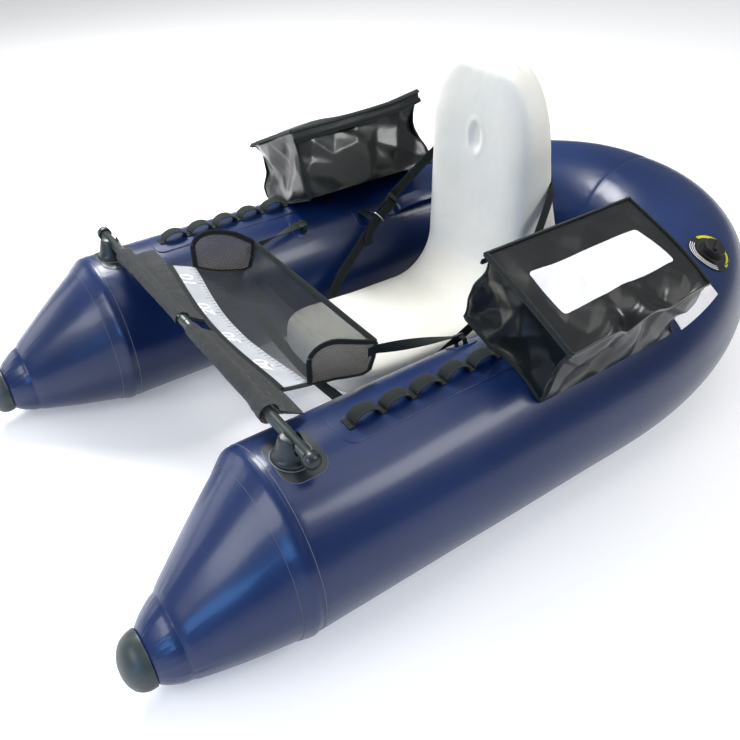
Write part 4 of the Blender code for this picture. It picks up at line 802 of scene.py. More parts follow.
@dataclass
class Hull:
    """Air chambers of welded cloth, puckered along every weld, with lap tapes over the welds."""

    sides: int = 224
    weld_dip: float = 0.0014
    pucker: float = 0.0004
    weld_reach: float = 0.0055
    pucker_reach: float = 0.030
    pucker_start: float = 0.004
    slow_wave: float = 0.0009
    fine_wave: float = 0.0003
    tape_width: float = 0.028
    tape_thickness: float = 0.0009
    tape_gap: float = 0.0003
    # Radius of the pale lines beside the welds, whose colour is painted highlight.
    highlight_line_radius: float = 0.0004
    close_rows: tuple = (0.0, 0.0008, 0.002, 0.004, 0.0065, 0.010, 0.015, 0.022, 0.032, 0.046)

    def swell(self, angle: float, to_weld: float, seed: float) -> float:
        """How far the skin is drawn in or puckered near a weld.

        Args:
            angle: round the tube.
            to_weld: distance from the weld.
            seed: which weld it is.

        Returns:
            The change of radius.
        """
        draw = -self.weld_dip * exp(-(to_weld / self.weld_reach) ** 2)
        fade = exp(-to_weld / self.pucker_reach) * (1 - exp(-to_weld / self.pucker_start))
        fold = noise.noise(Vector((cos(angle) * 9 + seed, sin(angle) * 9, to_weld * 16)))
        fine = noise.noise(Vector((cos(angle) * 23, sin(angle) * 23 + seed, to_weld * 30)))
        return draw + fade * self.pucker * (1.5 * fold + 1.1 * fine)

    def slack(self, point: Vector) -> float:
        """Slow unevenness of the blown cloth."""
        return self.slow_wave * noise.noise(point * 5.5) + self.fine_wave * noise.noise(point * 19)

    def ring_point(self, centre: Vector, heading: Vector, radius: float, angle: float) -> Vector:
        """A point of the ring about an axis, with the angle measured from the top."""
        outward = heading.cross(UP).normalized()
        top = outward.cross(heading).normalized()
        return centre + (top * cos(angle) + outward * sin(angle)) * radius

    def rows(self, length: float, pitch: float) -> list[float]:
        """Rows along a panel, close together at its two welds."""
        ends = [row for row in self.close_rows if row < length / 2]
        count = max(int((length - 2 * ends[-1]) / pitch), 1)
        middle = [ends[-1] + (length - 2 * ends[-1]) * step / count for step in range(1, count)]
        return ends + middle + [length - row for row in reversed(ends)]

    def chamber(self, name: str, length: float, pitch: float, seed: float, section: Section,
                welded: tuple[bool, bool] = (True, True)) -> Piece:
        """One welded panel.

        Args:
            name: the piece's name.
            length: of its axis.
            pitch: of the rows away from the welds.
            seed: of its puckers.
            section: axis point, heading and radius at a distance along it.
            welded: whether its start and its end are drawn in by a weld.

        Returns:
            The panel.
        """
        def spot(share: float, along: float) -> Vector:
            """A point of the skin."""
            centre, heading, radius = section(along)
            angle = 2 * pi * share
            change = self.swell(angle, along, seed) if welded[0] else 0.0
            if welded[1]:
                change += self.swell(angle, length - along, seed + 5)
            flat = self.ring_point(centre, heading, radius, angle)
            return self.ring_point(centre, heading, radius + change + self.slack(flat), angle)

        return Bench.sheet(name, self.sides, self.rows(length, pitch), spot, around=True, capped=True)

    def tape(self, name: str, low: float, high: float, seed: float, section: Section) -> Piece:
        """Lap tape beside a weld, following its puckers.

        Args:
            name: the piece's name.
            low: where it starts, from the weld.
            high: where it ends.
            seed: of the weld's puckers.
            section: axis point, heading and radius at a distance from the weld.

        Returns:
            The tape.
        """
        def spot(share: float, along: float) -> Vector:
            """A point of the tape."""
            centre, heading, radius = section(along)
            angle = 2 * pi * share
            change = self.swell(angle, along, seed)
            change += self.slack(self.ring_point(centre, heading, radius, angle))
            return self.ring_point(centre, heading, radius + change + self.tape_gap, angle)

        stops = [low + (high - low) * share for share in shares(14)]
        item = Bench.sheet(name, self.sides, stops, spot, around=True)
        return Bench.thicken(item, self.tape_thickness, 1)

    def line(self, name: str, along: float, seed: float, section: Section) -> Piece:
        """Fine pale line round the tube at the edge of a tape: a thin raised line whose pale colour is a
        painted highlight along the weld.

        Args:
            name: the piece's name.
            along: distance from the weld.
            seed: of the weld's puckers.
            section: axis point, heading and radius at a distance from the weld.

        Returns:
            The pale line.
        """
        centre, heading, radius = section(along)
        points = []
        for step in range(self.sides):
            angle = 2 * pi * step / self.sides
            change = self.swell(angle, along, seed)
            change += self.slack(self.ring_point(centre, heading, radius, angle))
            points.append(self.ring_point(centre, heading, radius + change + self.tape_gap, angle))
        return Bench.tube(name, points, self.highlight_line_radius, 6, cyclic=True)

    def straight_section(self, side: int) -> Section:
        """Section of the straight tube."""
        def section(along: float) -> tuple[Vector, Vector, float]:
            """Axis, heading and radius."""
            centre, heading = FORM.axis_at(along, side)
            return centre, heading, FORM.radius
        return section

    def build(self) -> None:
        """Makes every chamber and dresses it."""
        quarter, table = self.stern_table()
        for side, word in SIDES:
            body = self.chamber(f"tube_{word}", FORM.straight, 0.035, 1.0 + side,
                                self.straight_section(side), (True, False))
            Bench.dress(body, Finishes.NAVY, "hull", f"side_tube_{word}", angle=60)

            def stern(along: float, side: int = side) -> tuple[Vector, Vector, float]:
                """Axis, heading and radius along the stern quarter."""
                turn = self.turn_at(table, along)
                return FORM.stern_axis(turn, side), FORM.stern_heading(turn, side), FORM.radius

            body = self.chamber(f"stern_{word}", quarter, 0.016, 3.0 + side, stern, (False, True))
            Bench.dress(body, Finishes.NAVY, "hull", f"stern_quarter_{word}", angle=60)

            def cone(along: float, side: int = side) -> tuple[Vector, Vector, float]:
                """Axis, heading and radius along the bow cone."""
                share = along / FORM.cone_length
                radius = FORM.radius + (FORM.cone_radius - FORM.radius) * share
                radius += FORM.cone_crown * sin(pi * share)
                fade = min(along / FORM.shoulder, 1)
                radius += (FORM.radius - radius) * (1 - fade) ** 2
                height = FORM.radius + (FORM.cone_height - FORM.radius) * share
                across = FORM.half_spacing + FORM.cone_splay * share
                return Vector((side * across, FORM.seam_y - along, height)), -AFT, radius

            body = self.chamber(f"bow_{word}", FORM.cone_length, 0.012, 7.0 + side, cone)
            Bench.dress(body, Finishes.NAVY, "hull", f"bow_cone_{word}", angle=60)
            self.nose(side, word)
            tape = self.tape(f"weld_tape_{word}", 0.0015, self.tape_width, 7.0 + side, cone)
            Bench.dress(tape, Finishes.NAVY, "hull", angle=30)
            # These pale lines beside the bow weld are painted highlight along the weld.
            lines = [self.line(f"weld_line_bow_{word}", self.tape_width + 0.0004, 7.0 + side, cone),
                     self.line(f"weld_line_tube_{word}", 0.0060, 1.0 + side, self.straight_section(side))]
            Bench.dress(Bench.join(lines, f"weld_lines_{word}"), Finishes.PALE_EDGE, "hull", angle=60)

    def stern_table(self) -> tuple[float, list[tuple[float, float]]]:
        """Length of the stern quarter and its table of length to turn."""
        table = [(0.0, 0.0)]
        before = FORM.stern_axis(0, 1)
        for step in range(1, 241):
            turn = pi / 2 * step / 240
            after = FORM.stern_axis(turn, 1)
            table.append((table[-1][0] + (after - before).length, turn))
            before = after
        return table[-1][0], table

    @staticmethod
    def turn_at(table: list[tuple[float, float]], along: float) -> float:
        """Turn on the stern curve at a length along it."""
        for (low, first), (high, second) in zip(table, table[1:]):
            if along <= high:
                return first + (second - first) * (along - low) / (high - low)
        return table[-1][1]

    def nose(self, side: int, word: str) -> None:
        """Welded nose band and moulded nose cap.

        Args:
            side: 1 for left, -1 for right.
            word: the side's name.
        """
        start = Vector((side * (FORM.half_spacing + FORM.cone_splay), FORM.seam_y - FORM.cone_length,
                        FORM.cone_height))
        end = Vector((side * (FORM.half_spacing + FORM.band_splay), start.y - FORM.band_length,
                      FORM.band_height))

        def band(along: float) -> tuple[Vector, Vector, float]:
            """Axis, heading and radius along the band."""
            share = along / FORM.band_length
            radius = FORM.cone_radius + (FORM.band_radius - FORM.cone_radius) * share
            return start.lerp(end, share), -AFT, radius + 0.0022 * sin(pi * share)

        item = self.chamber(f"nose_wrap_{word}", FORM.band_length, 0.006, 11.0 + side, band)
        Bench.dress(item, Finishes.NAVY, "hull", f"nose_band_{word}", angle=60)
        lip = FORM.band_radius + FORM.cap_lip

        def shell(share: float, along: float) -> Vector:
            """A point of the cap; along is the share of a quarter turn to its tip, after a short skirt."""
            angle = 2 * pi * share
            if along < 0:
                radius, reach = lip - 0.0006 * (along < -0.9), FORM.cap_length * (1 + along) * 0.16
            else:
                radius = lip * max(cos(along * pi / 2), 0.0) ** 0.92
                reach = FORM.cap_length * (0.16 + 0.84 * sin(along * pi / 2))
            mould = 0.00035 * noise.noise(Vector((cos(angle) * 3, sin(angle) * 3, reach * 90)))
            centre = end - AFT * reach - UP * FORM.cap_drop * reach / FORM.cap_length
            return self.ring_point(centre, -AFT, radius + mould * cos(max(along, 0) * 1.5), angle)

        stops = [-1.0, -0.85, -0.5, -0.1] + shares(22)
        item = Bench.sheet(f"nose_shell_{word}", 96, stops, shell, around=True, capped=True)
        Bench.dress(item, Finishes.RUBBER, "hull", f"nose_cap_{word}")


class Studio:
    """Floor, soft lamps and the camera at the photograph's place."""

    eye = Vector((1.0657, -0.8474, 1.0716))
    yaw = 0.9658
    pitch = 0.6609
    roll = -0.013
    focal_pixels = 761.29
    frame_pixels = 740
    sensor = 36.0
    sky = (0.05, 0.95, 0.20, 0.46)

    def build(self) -> None:
        """Sets up everything that isn't the boat."""
        self.floor()
        self.camera()
        self.lamps()
        bpy.context.scene.view_settings.view_transform = "Standard"

    def floor(self) -> None:
        """Pale floor that keeps the shadow, a little brighter to the camera."""
        Bench.clear()
        bpy.ops.mesh.primitive_plane_add(size=14, location=(0, 0, 0))
        floor = bpy.context.object
        floor.name = "studio_floor"
        graph = Graph(bpy.data.materials.new("floor_look"))
        rays = [graph.node("ShaderNodeLightPath", {}, {}, f"Is {kind} Ray")
                for kind in ("Camera", "Glossy", "Transmission")]
        seen = rays[0].larger(rays[1]).larger(rays[2])
        graph.surface(Base_Color=(0.86, 0.86, 0.86), Roughness=0.9, Specular_IOR_Level=0.1,
                      Emission_Color=graph.mix(seen, (0.0, 0.0, 0.0), (0.23, 0.23, 0.23)),
                      Emission_Strength=1.0)
        floor.data.materials.append(graph.owner)

    def camera(self) -> None:
        """Camera of the photograph."""
        level = Vector((cos(self.yaw), sin(self.yaw), 0))
        ahead = Vector((-sin(self.yaw), cos(self.yaw), 0))
        forward = ahead * cos(self.pitch) - UP * sin(self.pitch)
        top = ahead * sin(self.pitch) + UP * cos(self.pitch)
        right = level * cos(self.roll) + top * sin(self.roll)
        top = top * cos(self.roll) - level * sin(self.roll)
        data = bpy.data.cameras.new("photo_camera")
        data.sensor_width = self.sensor
        data.lens = self.focal_pixels / self.frame_pixels * self.sensor
        data.clip_end = 50
        camera = bpy.data.objects.new("photo_camera", data)
        bpy.context.scene.collection.objects.link(camera)
        camera.matrix_world = (Matrix.Translation(self.eye)
                               @ Matrix((right, top, -forward)).transposed().to_4x4())
        bpy.context.scene.camera = camera

    def lamps(self) -> None:
        """A sky brighter overhead, soft lamps behind and above, and a cool one low at the bow."""
        graph = Graph(bpy.data.worlds.new("studio"), "Background")
        height = graph.parts(graph.node("ShaderNodeTexCoord", {}, {}, "Generated"))[2]
        graph.surface(Color=(0.95, 0.97, 1.0), Strength=height.ramp(*self.sky))
        bpy.context.scene.world = graph.owner
        self.lamp("key", (-1.9, -0.3, 2.3), (0, 0, 0.1), 96, (1.0, 1.0))
        self.lamp("window", (3.5, 2.5, 4.5), (0.1, 0, 0.2), 150, (2.5, 1.6))
        self.lamp("above", (0.4, 0.4, 2.8), (0.35, 0, 0.2), 14, (1.6, 1.6), (1.0, 0.97, 0.94))
        self.lamp("front", (0.1, -2.9, 1.7), (0.1, -0.2, 0.25), 31, (1.6, 0.7), (0.95, 0.97, 1.0))
        self.lamp("left", (-1.9, -1.9, 0.6), (0.3, -0.5, 0.2), 6, (1.2, 0.6))
        self.lamp("bow", (1.4, -2.7, 0.9), (0.35, -0.6, 0.1), 18, (1.0, 0.4), (0.14, 0.42, 1.0))

    @staticmethod
    def lamp(name: str, place: Sequence[float], target: Sequence[float], watts: float,
             size: Sequence[float], colour: Colour = (1.0, 1.0, 1.0)) -> None:
        """One area lamp aimed at a point.

        Args:
            name: the lamp's name.
            place: where it stands.
            target: what it is aimed at.
            watts: its power.
            size: its width and height.
            colour: of its light.
        """
        data = bpy.data.lights.new(name, "AREA")
        data.color = colour
        data.shape = "RECTANGLE"
        data.size, data.size_y = size
        data.energy = watts
        item = bpy.data.objects.new(name, data)
        bpy.context.scene.collection.objects.link(item)
        item.location = place
        item.rotation_euler = (Vector(target) - Vector(place)).to_track_quat("-Z", "Y").to_euler()


def laid(aft: float, lean: float, side: int, along: float, around: float, above: float = 0.0) -> Vector:
    """Point over the tube's skin, at distances along and round it from a middle point."""
    heading = FORM.axis_at(aft, side)[1]
    return FORM.on(aft + along * heading.y, lean + around / FORM.radius, side, above)[0]


@dataclass
class WeldedPatch:
    """Patch of coated cloth on the tube, ringed by a fine pale line that is a painted highlight along its
    raised edge.
    """

    name: str
    aft: float
    lean: float
    side: int
    length: float
    width: float
    corner: float
    finish: Finishes = Finishes.NAVY
    # edge: the finish of the painted highlight line round the patch, or None for no line.
    edge: "Finishes | None" = Finishes.BLUE_EDGE
    thickness: float = 0.0014
    stands_for: tuple = ()

    def half_length(self, around: float) -> float:
        """Half of the patch's length at a distance round the tube from its middle."""
        into = abs(around) - (self.width / 2 - self.corner)
        if into <= 0:
            return self.length / 2
        return self.length / 2 - self.corner + sqrt(max(self.corner ** 2 - into ** 2, 0.0))

    def build(self) -> Piece:
        """Makes the patch and its line of painted edge highlight."""
        half = self.width / 2
        close = [half - self.corner * (1 - sin(pi / 2 * share)) for share in shares(6)]
        flat = [close[0] * step / 3 for step in range(-2, 3)] if close[0] > 0 else [0.0]
        stops = [-value for value in reversed(close)] + flat + close
        columns = max(int(self.length / 0.006), 8)

        def spot(share: float, around: float) -> Vector:
            """A point of the patch."""
            along = (2 * share - 1) * self.half_length(around)
            place = laid(self.aft, self.lean, self.side, along, around)
            wave = 0.00025 * noise.noise(place * 60)
            return laid(self.aft, self.lean, self.side, along, around, self.thickness / 2 + 0.0002 + wave)

        item = Bench.sheet(self.name, columns, stops, spot)
        Bench.thicken(item, self.thickness)
        Bench.dress(item, self.finish, "hull", *self.stands_for, angle=40)
        # The thin line round the patch is lighter than the cloth: a painted highlight on the patch's edge.
        if self.edge:
            outline = [(self.half_length(value), value) for value in stops]
            outline += [(-self.half_length(value), value) for value in reversed(stops)]
            points = []
            for index, (along, around) in enumerate(outline):
                after = outline[(index + 1) % len(outline)]
                steps = max(int(hypot(after[0] - along, after[1] - around) / 0.012), 1)
                for step in range(steps):
                    share = step / steps
                    points.append(laid(self.aft, self.lean, self.side, along + (after[0] - along) * share,
                                       around + (after[1] - around) * share, 0.0004))
            line = Bench.tube(f"{self.name}_edge", points, 0.0007, 8, cyclic=True)
            Bench.dress(line, self.edge, "hull", angle=60)
        return item


@dataclass
class BarAndClips:
    """Two-piece tube bar with its knobs, in moulded cradles on welded patches."""

    y: float = -0.490
    height: float = 0.337
    radius: float = 0.0095
    half_length: float = 0.398
    spacing: float = 0.357
    offset: float = 0.006
    fit: float = 0.0004
    foot_radius: float = 0.0312
    button_x: float = 0.022
    patch_width: float = 0.074
    patch_length: float = 0.096
    cradle: tuple = ((0, 0.3500), (0.0070, 0.3499), (0.0120, 0.3492), (0.0150, 0.3479), (0.0168, 0.3458),
                     (0.0180, 0.3420), (0.0200, 0.3350), (0.0224, 0.3265), (0.0248, 0.3195),
                     (0.0262, 0.3170), (0.0280, 0.3158), (0.0298, 0.3148), (0.0303, 0.3134),
                     (0.0300, 0.3060), (0, 0.3060))
    knob: tuple = ((0, 0.4183), (0.0040, 0.4181), (0.0080, 0.4172), (0.0108, 0.4153), (0.0126, 0.4120),
                   (0.0135, 0.4080), (0.0134, 0.4045), (0.0127, 0.4022), (0.0127, 0.4016),
                   (0.0134, 0.4010), (0.0134, 0.3996), (0.0124, 0.3986), (0, 0.3986))

    def build(self) -> None:
        """Makes both sides."""
        for side, word in SIDES:
            self.clip(side, word)
            self.half(side, word)

    def clip(self, side: int, word: str) -> None:
        """Cradle, its channel for the bar, and its patch.

        Args:
            side: 1 for left, -1 for right.
            word: the side's name.
        """
        lean = asin((self.spacing - FORM.half_spacing) / FORM.radius)
        WeldedPatch(f"cradle_patch_{word}", self.y - FORM.seam_y, lean, side, self.patch_width,
                    self.patch_length, self.patch_width / 3, Finishes.PATCH, Finishes.PALE_EDGE,
                    stands_for=(f"clip_patch_{word}",)).build()
        place = Matrix.Translation((side * self.spacing, self.y - self.offset, 0))
        item = Bench.turned(f"cradle_{word}", self.cradle, place, 72)
        size = Vector((0.09, 2 * (self.radius + self.fit), 0.040))
        middle = self.height - self.radius - self.fit + size.z / 2
        cut = Bench.block("cradle_cut", size, Matrix.Translation((side * self.spacing, self.y, middle)),
                          0.0035, 4)
        Bench.apply(item, "BOOLEAN", operation="DIFFERENCE", object=cut, solver="EXACT")
        bpy.data.objects.remove(cut)
        Bench.apply(item, "BEVEL", width=0.0009, segments=2, limit_method="ANGLE",
                    angle_limit=radians(50))
        Bench.dress(item, Finishes.NYLON, "hull", f"bar_clip_{word}", angle=40)
        # The pale ring round the cradle's foot is a painted highlight along its edge.
        foot = [Vector((side * self.spacing + self.foot_radius * cos(turn),
                        self.y - self.offset + self.foot_radius * sin(turn), 0.0))
                for turn in (2 * pi * step / 72 for step in range(72))]
        for point in foot:
            across = (point.x * side - FORM.half_spacing) / FORM.radius
            point.z = FORM.radius + FORM.radius * sqrt(1 - across ** 2) + 0.0022
        ring = Bench.tube(f"cradle_foot_{word}", foot, 0.0010, 8, cyclic=True)
        Bench.dress(ring, Finishes.PALE_EDGE, "hull", angle=60)

    def half(self, side: int, word: str) -> None:
        """Half of the bar with its end knob, and a spring button near the middle joint.

        Args:
            side: 1 for left, -1 for right.
            word: the side's name.
        """
        place = frame_of(Vector((0, self.y, self.height)), UP, ACROSS * side)
        r, end = self.radius, self.half_length
        wall = ((0, 0.0002), (r - 0.0007, 0.0002), (r, 0.0009), (r, 0.060), (r, 0.2), (r, end - 0.001),
                (r - 0.0006, end), (0, end))
        item = Bench.turned(f"bar_tube_{word}", wall, place, 64)
        Bench.dress(item, Finishes.BAR, "bar", f"bar_half_{word}", angle=40)
        item = Bench.turned(f"end_knob_{word}", self.knob, place, 64)
        Bench.dress(item, Finishes.NYLON, "bar", f"bar_knob_{word}", angle=45)
        spot = Vector((side * self.button_x, self.y, self.height))
        button = frame_of(spot, ACROSS, Vector((0, -0.5, 0.87)))
        dome = ((0, r + 0.0022), (0.0016, r + 0.0020), (0.0028, r + 0.0012), (0.0031, r - 0.0004),
                (0, r - 0.0004))
        item = Bench.turned(f"bar_button_{word}", dome, button, 24)
        Bench.dress(item, Finishes.NICKEL, "bar", angle=45)


@dataclass
class Rails:
    """Webbing rails stitched down between their loops, each on a long patch."""

    start: float = 0.155
    pitch: float = 0.0589
    loops: int = 5
    stitch: float = 0.010
    rise: float = 0.0165
    margin: float = 0.016
    patch_width: float = 0.072

    def build(self) -> None:
        """Makes both rails."""
        for side, word in SIDES:
            middle = self.start + self.pitch * self.loops / 2 - self.stitch / 2
            length = self.pitch * self.loops + self.stitch + 2 * self.margin
            WeldedPatch(f"rail_base_{word}", middle, 0, side, length, self.patch_width, self.margin,
                        stands_for=(f"rail_patch_{word}",)).build()
            item = strap(f"rail_web_{word}", self.stations(side), thickness=0.0017, steps=3)
            Bench.dress(item, Finishes.WEB, "hull", f"tie_rail_{word}")

    def stations(self, side: int) -> list[Station]:
        """The web's path over its loops, no two of them quite alike.

        Args:
            side: 1 for left, -1 for right.

        Returns:
            Points, each with the direction of the web's width.
        """
        base = 2 * FORM.radius + 0.0014 + 0.0006 + 0.0008
        start = FORM.seam_y + self.start
        across = side * FORM.half_spacing
        stations = [(Vector((across, start - self.stitch, base)), ACROSS)]
        for loop in range(self.loops):
            rise = self.rise * (1 + 0.05 * sin(loop * 2.3 + side))
            lean = 0.0012 * sin(loop * 1.7)
            for share in shares(14):
                arch = sin(pi * share)
                run = (self.pitch - self.stitch) / 2 * (1 - cos(pi * share))
                spot = Vector((across + lean * arch, start + self.pitch * loop + run, base + rise * arch))
                twist = (1, 0.05 * sin(loop * 2.1 + 3 * share), 0.03 * sin(loop + 5 * share))
                stations.append((spot, Vector(twist)))
        stations.append((Vector((across, start + self.pitch * self.loops, base)), ACROSS))
        return stations


@dataclass
class Seat:
    """L-shaped foam seat under a knitted-look skin: dished pan, tall back with a domed top."""

    front: float = -0.264
    back: float = 0.178
    pan_height: float = 0.148
    front_rise: float = 0.016
    top: float = 0.670
    half_width: float = 0.140
    thickness: float = 0.076
    lumbar: float = 0.110
    bend: float = 0.122
    dome: float = 0.165
    front_round: float = 0.090
    edge_round: float = 0.030
    corner: float = 0.029
    squareness: float = 4.5
    button_height: float = 0.520
    button_radius: float = 0.016
    button_depth: float = 0.0042
    pieces: tuple = (44, 10, 6, 10, 32, 10, 6, 10)

    def path(self) -> list[tuple[float, float, float, float | None]]:
        """Middle line: aft, height, heading angle and distance from the pan's front edge."""
        start = self.back - self.bend
        pan = start - self.front
        stops = [self.edge_round * (1 - cos(pi / 2 * step / 9)) for step in range(1, 9)]
        stops = [0.0] + stops
        stops += [self.edge_round + (self.front_round - self.edge_round) * step / 7 for step in range(8)]
        stops += [self.front_round + (pan - self.front_round) * step / 22 for step in range(1, 22)]
        line = []
        for along in stops:
            rise = self.front_rise * (1 - along / pan) ** 2
            line.append((self.front + along, self.pan_height + rise, 0.0, along))
        for step in range(17):
            turn = pi / 2 * step / 16
            line.append((start + self.bend * sin(turn),
                         self.pan_height + self.bend * (1 - cos(turn)), turn, None))
        low, crown = self.pan_height + self.bend, self.top - self.dome
        for step in range(1, 51):
            line.append((self.back, low + (crown - low) * step / 50, pi / 2, None))
        for step in range(1, 61):
            turn = pi / 2 * step / 61
            line.append((self.back, crown + self.dome * sin(turn), pi / 2, None))
        return line

    def half_across(self, height: float, along: float | None) -> float:
        """Half width of the seat.

        Args:
            height: above the floor.
            along: distance from the pan's front edge, or None aft of the pan.

        Returns:
            Half of the width.
        """
        crown = self.top - self.dome
        if height > crown:
            share = min((height - crown) / self.dome, 1)
            return self.half_width * max(1 - share ** 2.3, 0) ** (1 / 2.3)
        if along is not None and along < self.front_round:
            share = 1 - along / self.front_round
            return self.half_width - self.front_round * (1 - sqrt(max(1 - share ** 2, 0)))
        return self.half_width

    def half_through(self, height: float, along: float | None) -> float:
        """Half thickness, rounded over at the rim.

        Args:
            height: above the floor.
            along: distance from the pan's front edge, or None aft of the pan.

        Returns:
            Half of the thickness.
        """
        gap = along if along is not None else self.top - height
        if gap >= self.edge_round:
            return self.thickness / 2
        share = 1 - gap / self.edge_round
        return self.thickness / 2 - self.edge_round * (1 - sqrt(max(1 - share ** 2, 0)))

    def section(self, column: int, half: float, front: float, back: float) -> tuple[float, float]:
        """Across and through on the rounded section, its columns closest at the middle of the front.

        Args:
            column: counted round the section.
            half: half of the width.
            front: depth on the side that is sat on.
            back: depth on the other.

        Returns:
            Distances across and through.
        """
        across, up = self.box(column, half, front, back)
        through = front if up > 0 else back
        share = abs(across / half) ** self.squareness + abs(up / through) ** self.squareness
        share = max(share, 1e-9) ** (-1 / self.squareness)
        return across * share, up * share

    def box(self, column: int, half: float, front: float, back: float) -> tuple[float, float]:
        """The section's columns on a rounded box.

        Args:
            column: counted round the section.
            half: half of the width.
            front: depth on the side that is sat on.
            back: depth on the other.

        Returns:
            Distances across and through.
        """
        r = min(self.corner, half * 0.9, (front + back) * 0.48)
        kind = 0
        while column >= self.pieces[kind]:
            column -= self.pieces[kind]
            kind += 1
        share = column / self.pieces[kind]
        if kind == 0:
            spread = 1 - 2 * share
            return copysign(abs(spread) ** 1.4, spread) * (half - r), front
        if kind == 4:
            return (2 * share - 1) * (half - r), -back
        if kind in (2, 6):
            run = (front + back - 2 * r) * share
            return (-half, front - r - run) if kind == 2 else (half, -back + r + run)
        angle = pi / 2 * ((kind + 1) // 2 + share)
        centre = (half - r if kind in (5, 7) else -half + r, front - r if kind in (1, 7) else -back + r)
        return centre[0] + r * cos(angle), centre[1] + r * sin(angle)

    def button(self, across: float, height: float, turn: float) -> float:
        """Depth of the pressed-in button on the front of the back.

        Args:
            across: from the middle of the seat.
            height: above the floor.
            turn: heading of the middle line, upright on the back.

        Returns:
            How far the skin is pressed in.
        """
        away = hypot(across, 0.6 * (height - self.button_height)) / self.button_radius
        if turn < 1.5 or away > 1.9:
            return 0.0
        edge = max(0.0, min(1.0, (1.25 - away) / 0.75))
        rim = 0.0012 * exp(-((away - 1.3) / 0.22) ** 2)
        return self.button_depth * edge * edge * (3 - 2 * edge) - rim

    def build(self) -> None:
        """Makes the seat as one closed skin."""
        line = self.path()
        reach = self.top - self.pan_height - self.bend
        columns = sum(self.pieces)

        def spot(share: float, stop: float) -> Vector:
            """A point of the seat's skin."""
            aft, height, turn, along = line[round(stop)]
            half = max(self.half_across(height, along), 0.004)
            thick = max(self.half_through(height, along), 0.0015)
            swell = self.lumbar * min((self.top - height) / reach, 1) ** 2 * sin(turn) ** 2
            across, up = self.section(round(share * columns) % columns, half, thick, thick + swell)
            if up > 0:
                up -= 0.0045 * max(1 - (across / self.half_width) ** 2, 0) * min(thick / 0.03, 1)
                up -= self.button(across, height, turn)
            normal = Vector((0, -sin(turn), cos(turn)))
            point = Vector((across, aft, height)) + normal * up
            return point + normal * (0.0010 * noise.noise(point * 14) + 0.0003 * noise.noise(point * 55))

        item = Bench.sheet("seat_foam", columns, range(len(line)), spot, around=True, capped=True)
        Bench.dress(item, Finishes.FOAM, "hull", "seat", angle=75)


